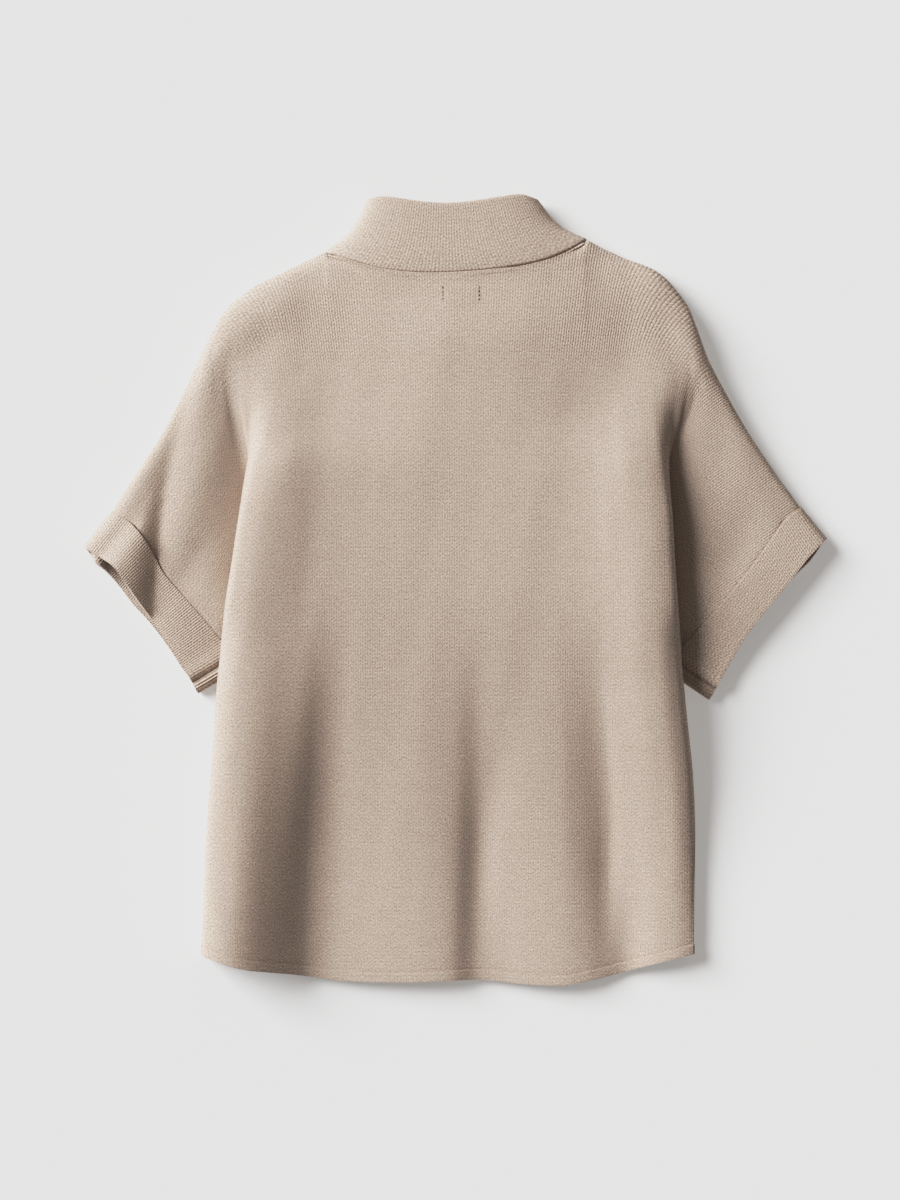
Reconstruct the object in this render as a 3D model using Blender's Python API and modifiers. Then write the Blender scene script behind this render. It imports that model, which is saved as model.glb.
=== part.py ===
# Short-sleeved, high-necked cardigan in fine knit, lying flat with its back up.
#
# X runs across the garment, Y from the hem to the collar and Z up from the surface it lies on.
# Sizes are in millimetres here and become metres when the meshes are made. The cut is a back
# with half sleeves knitted in one with it, two matching fronts, a doubled stand collar, two
# doubled cuffs and narrow doubled bands along the hem. The back rolls over the sleeves in a
# pleat on each side, and its hem runs in three soft folds. The fronts lie flat underneath.

import math
from collections import namedtuple

import bpy
import numpy as np

MM = 0.001

# Cloth and seams
WALL = 2.4  # one layer of knit
DOUBLED = 4.4  # two layers: collar, cuffs and hem bands
SEAM = 0.3  # gap between neighbouring pieces
BUTT = 0.9  # the same gap where a piece bends as it meets the next
FLAT = WALL / 2  # height of the middle of a layer that lies on the surface
FLAT_DOUBLED = DOUBLED / 2
LAPPED = FLAT + WALL + SEAM  # height of the middle of a layer that lies on another
HEM_DEPTH = 9.0
FRONT_GAP = 0.8  # between the two front edges
FRONT_X = 2.0  # where the fronts meet
FRONT_SHY = 3.0  # how far the hidden hem edge stays inside the back's

ARMPIT_Y = -51.0

# Outline of the shoulders and the outer sleeve edges, from the collar to the cuff seam
EdgePoint = namedtuple("EdgePoint", "x y")
LEFT_EDGE = (
    EdgePoint(-113.5, 294.8),
    EdgePoint(-128.5, 290.0),
    EdgePoint(-154.0, 277.5),
    EdgePoint(-186.0, 260.5),
    EdgePoint(-204.0, 244.0),
    EdgePoint(-220.0, 218.0),
    EdgePoint(-240.0, 174.5),
    EdgePoint(-260.0, 134.0),
    EdgePoint(-281.5, 100.0),
    EdgePoint(-300.0, 68.6),
)
RIGHT_EDGE = (
    EdgePoint(115.3, 305.4),
    EdgePoint(130.0, 298.5),
    EdgePoint(148.0, 290.4),
    EdgePoint(185.0, 272.0),
    EdgePoint(200.0, 257.0),
    EdgePoint(210.5, 241.0),
    EdgePoint(219.0, 218.0),
    EdgePoint(244.0, 165.0),
    EdgePoint(277.0, 108.5),
    EdgePoint(301.8, 72.2),
)

# The sides of the body, from the shoulders to the hem. tuck is how far the cloth runs back
# under the edge, and reach how far out the sleeve beside it starts to rise.
Side = namedtuple("Side", "y left right left_tuck right_tuck reach roll")
SIDES = (
    Side(300, -185.0, 199.0, 0, 0, 36, 35),
    Side(240, -184.0, 199.5, 0, 0, 36, 36),
    Side(185, -182.0, 197.0, 3, 3, 36, 38),
    Side(140, -181.0, 191.5, 9, 9, 36, 41),
    Side(97, -184.8, 188.3, 15, 16, 36, 43),
    Side(45, -190.5, 190.0, 22, 22, 34, 44),
    Side(0, -198.0, 192.8, 30, 30, 18, 44),
    Side(-51, -203.5, 196.5, 42, 42, -20, 43),
    Side(-80, -206.8, 199.0, 42, 42, -20, 42),
    Side(-117, -209.5, 202.8, 24, 24, -20, 41),
    Side(-155, -212.3, 207.0, 12, 12, -20, 39),
    Side(-200, -216.0, 209.4, 8, 8, -20, 36),
    Side(-272, -219.3, 208.8, 8, 8, -20, 32),
    Side(-340, -221.5, 208.0, 8, 8, -20, 28),
)

# One path across the side roll, from the sleeve up to the back, in three states: an open
# trough near the shoulder, a pleat beside the sleeve, and a side seam on the surface below it.
# x is measured inwards from the edge of the body, and share adds that much of the tuck.
Roll = namedtuple("Roll", "trough_x trough_z pleat_share pleat_x pleat_z seam_share seam_x seam_z")
SLEEVE_SIDE = (
    Roll(-36, 27.5, 0, 0, 19.0, 0, 0, FLAT),
    Roll(-27, 24.5, 0, 0, 11.5, 0, 0, FLAT),
    Roll(-19, 23.0, 1, -6, 7.2, 1, -7, FLAT),
)
BODY_SIDE = (
    Roll(-12, 23.8, 1, 0, 10.0, 1, 0, FLAT),
    Roll(-5, 27.0, 1, -6, 12.8, 0.75, -2.4, 2.0),
    Roll(2, 30.5, 0.25, 0.5, 15.5, 0.40, -2.0, 8.0),
    Roll(9, 33.5, 0, 0, 22.0, 0, 0, 17.0),
    Roll(16, 35.5, 0, 2, 31.0, 0, 2, 25.0),
    Roll(24, 36.5, 0, 7, 38.5, 0, 7, 31.0),
    Roll(34, 37.0, 0, 16, 42.5, 0, 16, 34.0),
    Roll(48, 36.8, 0, 30, 42.0, 0, 30, 33.0),
)
LEAST_TUCK, FULL_TUCK = 8.0, 42.0
SEAM_LIFT = 5.5  # how much higher the cloth stays under a full tuck, to clear the cuff
PLEAT_STARTS, PLEAT_WHOLE = 255.0, 90.0
PLEAT_ROLL = 44.0  # the roll height that the pleat's own heights are drawn for
SEAM_ROLL = 35.0

# Height of the middle of the back, from the neck to the hem
Crest = namedtuple("Crest", "y z")
CRESTS = (
    Crest(300, 26.0),
    Crest(250, 32.0),
    Crest(180, 35.5),
    Crest(80, 36.0),
    Crest(-50, 34.5),
    Crest(-150, 31.5),
    Crest(-250, 28.5),
    Crest(-340, 26.5),
)
ROLL_SPREAD = 30.0  # how far the side rolls blend into the back

# Soft folds that open towards the hem. Each is a valley, steep on its left side.
Fold = namedtuple("Fold", "hem_x top_x top_y depth left_width right_width")
FOLDS = (
    Fold(-119, -84, 45, 18.5, 30, 46),
    Fold(28, 42, -20, 11.5, 24, 30),
    Fold(141, 116, 30, 11.0, 27, 24),
)
HEM_Y = -335.0

# The outer edge of the hem, and the neck seam
HemPoint = namedtuple("HemPoint", "x y")
HEM = (
    HemPoint(-221, -319.4),
    HemPoint(-206, -324.7),
    HemPoint(-188, -330.6),
    HemPoint(-152, -335.3),
    HemPoint(-101, -342.6),
    HemPoint(-29, -343.8),
    HemPoint(22, -342.0),
    HemPoint(58, -345.6),
    HemPoint(98, -346.4),
    HemPoint(137, -338.2),
    HemPoint(177, -327.6),
    HemPoint(209, -319.0),
)
NeckPoint = namedtuple("NeckPoint", "across y top_y")
NECK = (
    NeckPoint(-1.00, 294.8, 343.0),
    NeckPoint(-0.85, 289.6, 345.0),
    NeckPoint(-0.70, 284.0, 343.8),
    NeckPoint(-0.49, 279.2, 341.4),
    NeckPoint(-0.20, 277.0, 339.2),
    NeckPoint(0.05, 278.0, 339.2),
    NeckPoint(0.37, 281.6, 342.2),
    NeckPoint(0.68, 288.8, 345.6),
    NeckPoint(0.85, 296.4, 346.6),
    NeckPoint(1.00, 305.4, 342.5),
)
NECK_SIDE_Z = 7.5
NECK_MIDDLE_Z = 28.0
COLLAR_TOP_Z = 24.0
FRONT_DROP, FRONT_TOP_DROP = 52.0, 34.0

# Sides of the collar at each share of its height
CollarRow = namedtuple("CollarRow", "up left right")
COLLAR_ROWS = (
    CollarRow(0.0, -113.5, 115.3),
    CollarRow(0.2, -99.5, 98.5),
    CollarRow(0.4, -90.0, 88.0),
    CollarRow(0.6, -84.0, 81.0),
    CollarRow(0.8, -79.2, 75.8),
    CollarRow(1.0, -75.0, 70.0),
)

# The rounding of the shoulder and the outer sleeve edge: distance in from the outline, height
# there, share of the rise to the cloth's full height, and the same rows' places below the neck
Rim = namedtuple("Rim", "inset z rise neck_inset")
RIM = (
    Rim(9.0, FLAT, 0, 0.0),
    Rim(3.5, 2.3, 0, 0.8),
    Rim(0.5, 7.0, 0, 1.6),
    Rim(0.0, 12.0, 0, 2.6),
    Rim(2.5, 12.0, 0.45, 4.6),
    Rim(8.0, 12.0, 0.78, 9.0),
    Rim(18.0, 12.0, 1.0, 18.0),
)
SILHOUETTE = 3  # the row of RIM that lies on the outline
NECK_PINCH, PINCH_SPREAD = 0.62, 22.0  # the outline is lower where a shoulder meets the neck
NECK_SLOPE = 42.0  # below the middle of the neck the back takes this far to reach its height
NECK_BLEND = 62.0
UPPER_ROWS = 8  # from the rim down to the armpit
LOWER_ROWS = 10  # from the armpit to the hem
SLEEVE_STEPS = 7  # from the body to the cuff seam

# Cuffs, at stations from the sleeve's outer edge to the underarm: the seam, the edge of the
# opening in the back layer, the heights of both and how far the front layer shows beyond.
Cuff = namedtuple("Cuff", "along seam_x seam_y open_x open_y seam_z open_z beyond")
LEFT_CUFF = (
    Cuff(0.00, -300.0, 68.6, -324.9, 37.8, 12.0, 12.0, 0),
    Cuff(0.12, -284.0, 59.5, -310.0, 27.0, 26.0, 26.0, 8),
    Cuff(0.25, -270.5, 43.5, -296.0, 16.5, 27.0, 32.0, 11),
    Cuff(0.40, -257.0, 18.5, -282.0, -5.0, 26.0, 32.0, 10),
    Cuff(0.55, -240.0, -2.0, -267.0, -26.0, 24.0, 27.0, 6),
    Cuff(0.75, -219.0, -26.0, -250.0, -48.0, 17.0, 19.0, 2),
    Cuff(0.90, -203.5, -45.0, -238.5, -68.0, 10.5, 13.0, 0),
    Cuff(1.00, -193.6, -57.0, -231.8, -79.6, 7.6, 9.6, 0),
)
RIGHT_CUFF = (
    Cuff(0.00, 301.8, 72.2, 324.9, 44.0, 12.0, 13.0, 0),
    Cuff(0.12, 288.0, 61.5, 309.0, 28.5, 27.0, 29.0, 5),
    Cuff(0.25, 275.5, 43.5, 298.5, 12.5, 29.0, 32.0, 5),
    Cuff(0.40, 258.5, 20.5, 284.0, -5.5, 28.0, 31.0, 2),
    Cuff(0.55, 241.0, -1.5, 267.5, -25.5, 26.0, 28.0, 0),
    Cuff(0.75, 216.5, -29.5, 250.0, -45.5, 19.0, 22.0, 0),
    Cuff(0.90, 200.0, -47.5, 237.5, -71.5, 11.0, 14.0, 0),
    Cuff(1.00, 188.5, -58.0, 229.7, -85.4, 7.6, 9.8, 0),
)
# Past the back layer's lower end: a groove, then the rounded edge of the front layer
Turn = namedtuple("Turn", "beyond z")
CUFF_TURN = (
    Turn(1.8, 7.4),
    Turn(5.0, 8.6),
    Turn(9.0, 8.0),
    Turn(11.0, 5.2),
    Turn(8.5, FLAT_DOUBLED),
)
CUFF_SEAM = 170.0  # length of the seam on the back layer
CUFF_SECTIONS = 4  # steps from the sleeve seam to the opening
CUFF_FRONT_STEPS = 9  # points along the hidden half of a cuff
CUFF_FRONT_END = 0.09  # where that half meets the first point, past the sleeve's outer edge

# The hidden fronts, the hem bands and the collar
SIDE_NAMES = ((-1, "left"), (1, "right"))
NECK_STEPS, HEM_STEPS = 8, 8
NECK_REACH = 0.955  # share of the half neck that a front's neckline runs to
FRONT_ROUND = 0.8  # lower is a squarer front neckline
BAND_STATIONS = (0.3, 4.5, 8.7)  # down the hem band
BAND_DROOP = 0.6  # share of the back's slope at the hem that the band keeps
COLLAR_FRONT_STEPS = 7
COLLAR_CLEAR = 3.8  # how much further the collar stays from the back at the ends of the neck seam
COLLAR_BEND, COLLAR_TURN = 0.955, 0.993  # where the front half starts to turn up, and stands
COLLAR_STATIONS = (
    -1.0, -0.985, -0.95, -0.88, -0.77, -0.62, -0.44, -0.22,
    0.0, 0.22, 0.44, 0.62, 0.77, 0.88, 0.95, 0.985, 1.0,
)

# Creases pressed into a sleeve: the path is on the surface, seen from above
Crease = namedtuple("Crease", "start middle end depth width")
SLEEVE_CREASES = (
    Crease((-232, 150), (-258, 84), (-262, 38), 7.0, 15.0),
    Crease((262, 70), (250, 40), (232, 16), 2.5, 16.0),
)

KNIT_BEIGE = (0.462, 0.377, 0.296)
RIB_BEIGE = (0.480, 0.395, 0.312)
BAND_BEIGE = (0.440, 0.358, 0.280)


def smooth_curve(rows, key, value):
    """A smooth function through one column of a table against another, held past its ends."""
    rows = sorted(rows, key=lambda row: getattr(row, key))
    keys = np.array([getattr(row, key) for row in rows], float)
    values = np.array([getattr(row, value) for row in rows], float)
    slopes = np.gradient(values, keys)

    def at(x):
        x = min(max(x, keys[0]), keys[-1])
        i = min(max(int(np.searchsorted(keys, x)) - 1, 0), len(keys) - 2)
        width = keys[i + 1] - keys[i]
        t = (x - keys[i]) / width
        start = (1 + 2 * t) * (1 - t) ** 2 * values[i] + t * (1 - t) ** 2 * width * slopes[i]
        end = t * t * (3 - 2 * t) * values[i + 1] - t * t * (1 - t) * width * slopes[i + 1]
        return float(start + end)

    return at


def mix(a, b, share):
    return a + (b - a) * share


def mix_points(a, b, share):
    return tuple(mix(p, q, share) for p, q in zip(a, b))


def ease(t):
    t = min(max(t, 0.0), 1.0)
    return t * t * (3 - 2 * t)


def bell(distance, width):
    return math.exp(-((distance / width) ** 2))


def rounded(inset, radius):
    """0 at the edge, rising like a quarter circle to 1 at radius."""
    left = 1 - min(inset / radius, 1.0)
    return math.sqrt(1 - left * left)


left_edge_y = smooth_curve(LEFT_EDGE, "x", "y")
right_edge_y = smooth_curve(RIGHT_EDGE, "x", "y")
left_side = smooth_curve(SIDES, "y", "left")
right_side = smooth_curve(SIDES, "y", "right")
left_tuck = smooth_curve(SIDES, "y", "left_tuck")
right_tuck = smooth_curve(SIDES, "y", "right_tuck")
sleeve_reach = smooth_curve(SIDES, "y", "reach")
roll_height = smooth_curve(SIDES, "y", "roll")
crest_height = smooth_curve(CRESTS, "y", "z")
hem_edge = smooth_curve(HEM, "x", "y")
neck_y = smooth_curve(NECK, "across", "y")
collar_top_y = smooth_curve(NECK, "across", "top_y")
collar_left = smooth_curve(COLLAR_ROWS, "up", "left")
collar_right = smooth_curve(COLLAR_ROWS, "up", "right")


def fold_depth(x, y):
    """How far the soft folds sink the back at a point."""
    depth = 0.0
    for fold in FOLDS:
        open_share = ease((fold.top_y - y) / (fold.top_y - HEM_Y))
        centre = mix(fold.top_x, fold.hem_x, open_share)
        width = fold.left_width if x < centre else fold.right_width
        depth += fold.depth * open_share * bell(x - centre, width)
    return depth


def crease_depth(x, y):
    """How far the sleeve creases sink the cloth at a point, fading out at both their ends."""
    depth = 0.0
    for crease in SLEEVE_CREASES:
        nearest, along = 1e9, 0.0
        for step in range(21):
            t = step / 20
            px, py = mix_points(
                mix_points(crease.start, crease.middle, t),
                mix_points(crease.middle, crease.end, t),
                t,
            )
            distance = math.hypot(x - px, y - py)
            if distance < nearest:
                nearest, along = distance, t
        fade = ease(along / 0.55)
        depth += crease.depth * fade * bell(nearest, crease.width)
    return depth


def back_height(x, y):
    """Height of the back's cloth away from its edges."""
    inside = min(x - left_side(y), right_side(y) - x)
    roll = ease((240 - y) / 90) * bell(max(inside - 20, 0), ROLL_SPREAD)
    return mix(crest_height(y), roll_height(y), roll) - fold_depth(x, y)


def neck_across(x):
    """Place across the neck, from -1 at its left end to 1 at its right end."""
    middle = (collar_left(0) + collar_right(0)) / 2
    return (x - middle) / (collar_right(0) - middle)


def neck_height(across):
    return mix(NECK_SIDE_Z, NECK_MIDDLE_Z, math.sqrt(max(1 - abs(across) ** 2.2, 0)))


def roll_point(roll, y, side):
    """A point of the path across the side roll at this height of the garment."""
    edge = left_side(y) if side < 0 else right_side(y)
    tuck = left_tuck(y) if side < 0 else right_tuck(y)
    pleated = ease((PLEAT_STARTS - y) / (PLEAT_STARTS - PLEAT_WHOLE))
    seamed = ease((ARMPIT_Y + 30 - y) / 30)
    pleat_z = roll.pleat_z
    seam_z = roll.seam_z
    if roll.pleat_z > 20:
        pleat_z *= roll_height(y) / PLEAT_ROLL
        seam_z *= roll_height(y) / SEAM_ROLL
    elif roll.seam_z > FLAT:
        seam_z += SEAM_LIFT * (tuck - LEAST_TUCK) / (FULL_TUCK - LEAST_TUCK)
    inwards = mix(roll.trough_x, roll.pleat_share * tuck + roll.pleat_x, pleated)
    inwards = mix(inwards, roll.seam_share * tuck + roll.seam_x, seamed)
    height = mix(mix(roll.trough_z, pleat_z, pleated), seam_z, seamed)
    return (edge - side * inwards, y, height)


def sleeve_side_point(index, y, side):
    """A point between the sleeve and the bottom of the trough or pleat."""
    x, _, height = roll_point(SLEEVE_SIDE[index], y, side)
    inner = roll_point(SLEEVE_SIDE[2], y, side)[0]
    if index < 2:
        pleated = ease((PLEAT_STARTS - y) / (PLEAT_STARTS - PLEAT_WHOLE))
        edge = left_side(y) if side < 0 else right_side(y)
        outer = edge + side * sleeve_reach(y)
        x = mix(x, outer if index == 0 else mix(inner, outer, 0.55), pleated)
    return (x, y, height)


def rim_height(row, top, x):
    """Height of a row of the rim, under cloth that is top high, at this place across."""
    to_neck = min(abs(x - collar_left(0)), abs(x - collar_right(0)))
    low = mix(1.0, NECK_PINCH, bell(to_neck, PINCH_SPREAD))
    return mix(FLAT + (RIM[row].z - FLAT) * low, top, RIM[row].rise)


def upper_y(row, top_y, low_y, on_collar=False):
    """Y of one of the rows between the outline and the armpit."""
    if row < len(RIM):
        return top_y - (SEAM + RIM[row].neck_inset if on_collar else RIM[row].inset)
    below = (row - len(RIM) + 1) / UPPER_ROWS
    return mix(top_y - RIM[-1].inset, low_y, below)


ARMPIT_ROW = len(RIM) - 1 + UPPER_ROWS
LAST_ROW = ARMPIT_ROW + LOWER_ROWS

# Where the columns of the back start at the shoulders and the neck, and where they end
Column = namedtuple("Column", "top_x low_share")
BACK_COLUMNS = (
    Column(-126, 0.085),
    Column(-113.5, 0.13),
    Column(-111.5, 0.175),
    Column(-107, 0.22),
    Column(-98, 0.27),
    Column(-80, 0.325),
    Column(-55, 0.385),
    Column(-25, 0.45),
    Column(2, 0.51),
    Column(30, 0.57),
    Column(57, 0.63),
    Column(82, 0.685),
    Column(99, 0.735),
    Column(108.5, 0.785),
    Column(113.3, 0.83),
    Column(115.3, 0.875),
    Column(129, 0.92),
)


def on_neck(x):
    return collar_left(0) < x < collar_right(0)


def outline_y(x):
    if on_neck(x):
        return neck_y(neck_across(x))
    return left_edge_y(x) if x < 0 else right_edge_y(x)


def neck_rise(inset, x):
    """Share of the rise from the neck seam to the back's full height."""
    steep = rounded(inset, RIM[-1].inset)
    away = min(x - collar_left(0), collar_right(0) - x)
    return mix(steep, ease(inset / NECK_SLOPE), ease(away / NECK_BLEND))


def back_column_point(column, row):
    """A point of the back between its two side rolls."""
    top_y = outline_y(column.top_x)
    ends = [roll_point(BODY_SIDE[-1], ARMPIT_Y, side)[0] for side in (-1, 1)]
    low_x = mix(*ends, column.low_share)
    if row > ARMPIT_ROW:
        below = (row - ARMPIT_ROW) / LOWER_ROWS
        low_y = mix(ARMPIT_Y, HEM_Y, below)
        ends = [roll_point(BODY_SIDE[-1], low_y, side)[0] for side in (-1, 1)]
        x = mix(*ends, column.low_share)
        y = mix(ARMPIT_Y, hem_edge(x) + HEM_DEPTH, below)
        return (x, y, back_height(x, y))
    y = upper_y(row, top_y, ARMPIT_Y, on_neck(column.top_x))
    x = mix(column.top_x, low_x, ease((top_y - y) / (top_y - ARMPIT_Y)))
    inner = back_height(x, y)
    if on_neck(column.top_x):
        start = neck_height(neck_across(column.top_x))
        return (x, y, mix(start, inner, neck_rise(top_y - SEAM - y, column.top_x)))
    return (x, y, rim_height(row, inner, x) if row < len(RIM) else inner)


def side_column_point(index, row, side):
    """A point of the side roll. The first three belong to the sleeve side of the pleat."""
    roll = (SLEEVE_SIDE + BODY_SIDE)[index]
    start_x = (left_side(250) if side < 0 else right_side(250)) - side * roll.trough_x
    if row <= ARMPIT_ROW:
        y = upper_y(row, outline_y(start_x), ARMPIT_Y)
    else:
        below = (row - ARMPIT_ROW) / LOWER_ROWS
        hem_x = roll_point(roll, HEM_Y, side)[0]
        y = mix(ARMPIT_Y, hem_edge(hem_x) + HEM_DEPTH, below)
    if index < len(SLEEVE_SIDE):
        x, y, height = sleeve_side_point(index, y, side)
    else:
        x, y, height = roll_point(roll, y, side)
    if row == ARMPIT_ROW and index <= len(SLEEVE_SIDE):
        height = LAPPED
    if row < len(RIM):
        return (start_x, y, rim_height(row, height, start_x))
    return (x, y, height)


def cuff_curve(rows, value):
    return smooth_curve(rows, "along", value)


def cuff_along(row):
    """Share of the cuff seam that a row of the grid meets."""
    if row < len(RIM):
        return RIM[row].inset / CUFF_SEAM
    start = RIM[-1].inset / CUFF_SEAM
    return mix(start, 1.0, (row - len(RIM) + 1) / UPPER_ROWS)


def cuff_seam_point(rows, row):
    along = cuff_along(row)
    x, y = cuff_curve(rows, "seam_x")(along), cuff_curve(rows, "seam_y")(along)
    top = cuff_curve(rows, "seam_z")(along)
    if row == ARMPIT_ROW:
        return (x, y, LAPPED)
    if row < len(RIM):
        return (x, y, rim_height(row, cuff_curve(rows, "seam_z")(cuff_along(len(RIM) - 1)), x))
    return (x, y, top)


def sleeve_point(step, row, side):
    """A point of the half sleeve: step 0 is next to the body, the last on the cuff seam."""
    rows = LEFT_CUFF if side < 0 else RIGHT_CUFF
    share = step / SLEEVE_STEPS
    inner = side_column_point(0, row, side)
    outer = cuff_seam_point(rows, row)
    x, y, height = mix_points(inner, outer, share)
    first = side_column_point(0, SILHOUETTE, side)
    last = cuff_seam_point(rows, SILHOUETTE)
    straight = mix_points(first, last, share)
    edge_y = left_edge_y if side < 0 else right_edge_y
    bow = edge_y(straight[0]) - straight[1]
    fade = 1.0
    if row >= len(RIM):
        fade = 1 - (row - len(RIM) + 1) / UPPER_ROWS
    y += bow * fade
    if SILHOUETTE < row < ARMPIT_ROW:
        height -= crease_depth(x, y) * min(share * 4, 1)
    return (x, y, max(height, FLAT))


def back_grid():
    """Rows of points over the whole back. Rows past the armpit have no sleeves."""
    sides = len(SLEEVE_SIDE) + len(BODY_SIDE)
    rows = []
    for row in range(LAST_ROW + 1):
        first = 0 if row <= ARMPIT_ROW else len(SLEEVE_SIDE)
        line = [side_column_point(i, row, -1) for i in range(first, sides)]
        line += [back_column_point(column, row) for column in BACK_COLUMNS]
        line += [side_column_point(i, row, 1) for i in reversed(range(first, sides))]
        if row <= ARMPIT_ROW:
            left = [sleeve_point(s, row, -1) for s in range(SLEEVE_STEPS, 0, -1)]
            right = [sleeve_point(s, row, 1) for s in range(1, SLEEVE_STEPS + 1)]
            line = left + line + right
        else:
            blank = [None] * (SLEEVE_STEPS + first)
            line = blank + line + blank
        rows.append(line)
    return rows


def grid_mesh(name, rows, closed=False):
    """A mesh over rows of points, leaving out the cells that miss a corner."""
    points, index = [], {}
    for r, line in enumerate(rows):
        for c, point in enumerate(line):
            if point is not None:
                index[r, c] = len(points)
                points.append(tuple(value * MM for value in point))
    faces = []
    for r in range(len(rows) - 1):
        width = len(rows[r])
        for c in range(width if closed else width - 1):
            d = (c + 1) % width
            corners = ((r, c), (r + 1, c), (r + 1, d), (r, d))
            if all(corner in index for corner in corners):
                faces.append([index[corner] for corner in corners])
    mesh = bpy.data.meshes.new(name)
    mesh.from_pydata(points, [], faces)
    mesh.validate()
    return mesh


def material(name, colour, roughness=0.9):
    made = bpy.data.materials.new(name)
    made.use_nodes = True
    shader = made.node_tree.nodes["Principled BSDF"]
    shader.inputs["Base Color"].default_value = (*colour, 1)
    shader.inputs["Roughness"].default_value = roughness
    shader.inputs["Metallic"].default_value = 0.0
    return made


def add_sheet(name, mesh, thickness, colour):
    """A cloth wall: the open surface thickened evenly to both sides."""
    sheet = bpy.data.objects.new(name, mesh)
    garment.objects.link(sheet)
    wall = sheet.modifiers.new("wall", "SOLIDIFY")
    wall.thickness = thickness * MM
    wall.offset = 0
    wall.use_even_offset = False
    mesh.shade_smooth()
    mesh.materials.append(material(name, colour))
    return sheet


def add_flat(name, outline, thickness, colour):
    """A flat piece that lies on the surface, cut to an outline."""
    curve = bpy.data.curves.new(name, "CURVE")
    curve.dimensions = "2D"
    curve.fill_mode = "BOTH"
    curve.extrude = thickness / 2 * MM
    spline = curve.splines.new("POLY")
    spline.points.add(len(outline) - 1)
    for point, (x, y) in zip(spline.points, outline):
        point.co = (x * MM, y * MM, 0, 1)
    spline.use_cyclic_u = True
    flat = bpy.data.objects.new(name, curve)
    flat.location.z = thickness / 2 * MM
    garment.objects.link(flat)
    curve.materials.append(material(name, colour))
    return flat


def inset_outline(outline, distance):
    """A closed outline, anticlockwise, moved inwards by a distance."""
    moved = []
    for i, (x, y) in enumerate(outline):
        ax, ay = outline[i - 1]
        bx, by = outline[(i + 1) % len(outline)]
        length = math.hypot(bx - ax, by - ay)
        moved.append((x - (by - ay) / length * distance, y + (bx - ax) / length * distance))
    return moved


def make_back(rows):
    add_sheet("back_panel", grid_mesh("back_panel", rows), WALL, KNIT_BEIGE)


def front_neck(across, up=0.0):
    """Plan position of the front half of the collar at a place across it and up it."""
    share = (across + 1) / 2
    x = mix(collar_left(up), collar_right(up), share)
    ends = [mix(neck_y(end), collar_top_y(end), up) for end in (-1, 1)]
    drop = mix(FRONT_DROP, FRONT_TOP_DROP, up) * (1 - across * across) ** FRONT_ROUND
    return x, mix(*ends, share) - drop + COLLAR_CLEAR * (1 - up) * across**6


def front_outline(rows, side):
    """The outline of one front: the back's own seams on the surface, the hem and the neck."""
    width = len(rows[0])
    columns = list(range(width) if side < 0 else reversed(range(width)))
    neck_end = collar_left(0) if side < 0 else collar_right(0)
    first = SLEEVE_STEPS + len(SLEEVE_SIDE)
    shoulder = [rows[0][c] for c in columns if side * rows[0][c][0] >= side * neck_end]
    cuff = [rows[r][columns[0]] for r in range(len(RIM) - 1, ARMPIT_ROW)]
    underarm = [rows[ARMPIT_ROW][c] for c in columns[:first]]
    seam = [rows[r][columns[first]] for r in range(ARMPIT_ROW, LAST_ROW + 1)]
    middle = FRONT_X + side * (FRONT_GAP / 2 - BUTT)
    seam[-1] = (seam[-1][0], hem_edge(seam[-1][0]) + HEM_DEPTH + FRONT_SHY)
    hem = [(x, hem_edge(x) + HEM_DEPTH + FRONT_SHY) for x in hem_stations(seam[-1][0], middle)]
    neck = []
    for step in range(NECK_STEPS + 1):
        across = mix(neck_across(middle), side, step / NECK_STEPS * NECK_REACH)
        x, y = front_neck(across)
        neck.append((x, y - SEAM))
    outline = [p[:2] for p in [*reversed(shoulder), *cuff, *underarm, *seam]] + hem + neck
    return outline if side < 0 else outline[::-1]


def hem_stations(start, end):
    return [mix(start, end, step / HEM_STEPS) for step in range(1, HEM_STEPS + 1)]


def make_fronts(rows):
    for side, name in SIDE_NAMES:
        outline = inset_outline(front_outline(rows, side), BUTT)
        add_flat(f"front_{name}_panel", outline, WALL, KNIT_BEIGE)


def make_hem_bands(rows):
    """The doubled band along the back's hem, and the flat ones along the two fronts."""
    last = [point for point in rows[-1] if point is not None]
    before = [point for point in rows[-2] if point is not None]
    band = []
    for depth in BAND_STATIONS:
        line = []
        for (x, y, z), (px, py, pz) in zip(last, before):
            step = (SEAM + depth) / (py - y)
            height = z + (z - pz) * step * BAND_DROOP
            line.append((x + (x - px) * step, y - SEAM - depth, max(height, FLAT_DOUBLED)))
        band.append(line)
    add_sheet("hem_band_back", grid_mesh("hem_band_back", band), DOUBLED, BAND_BEIGE)
    corner_left, corner_right = band[0][0][0], band[0][-1][0]
    for (side, name), corner in zip(SIDE_NAMES, (corner_left, corner_right)):
        start = corner - side * BUTT
        middle = FRONT_X + side * FRONT_GAP / 2
        stations = [start, *hem_stations(start, middle)]
        upper = [(x, hem_edge(x) + HEM_DEPTH + FRONT_SHY - SEAM) for x in stations]
        lower = [(x, hem_edge(x) + FRONT_SHY) for x in stations]
        outline = lower + upper[::-1] if side < 0 else upper + lower[::-1]
        add_flat(f"hem_band_front_{name}", outline, DOUBLED, BAND_BEIGE)


def collar_back_point(across, up):
    share = (across + 1) / 2
    x = mix(collar_left(up), collar_right(up), share)
    base_y = neck_y(across) + SEAM + COLLAR_CLEAR * abs(across) ** 3
    y = mix(base_y, collar_top_y(across), up)
    top_z = mix(NECK_SIDE_Z, COLLAR_TOP_Z, math.sqrt(max(1 - abs(across) ** 2.2, 0)))
    return (x, y, mix(neck_height(across), top_z, up))


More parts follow.
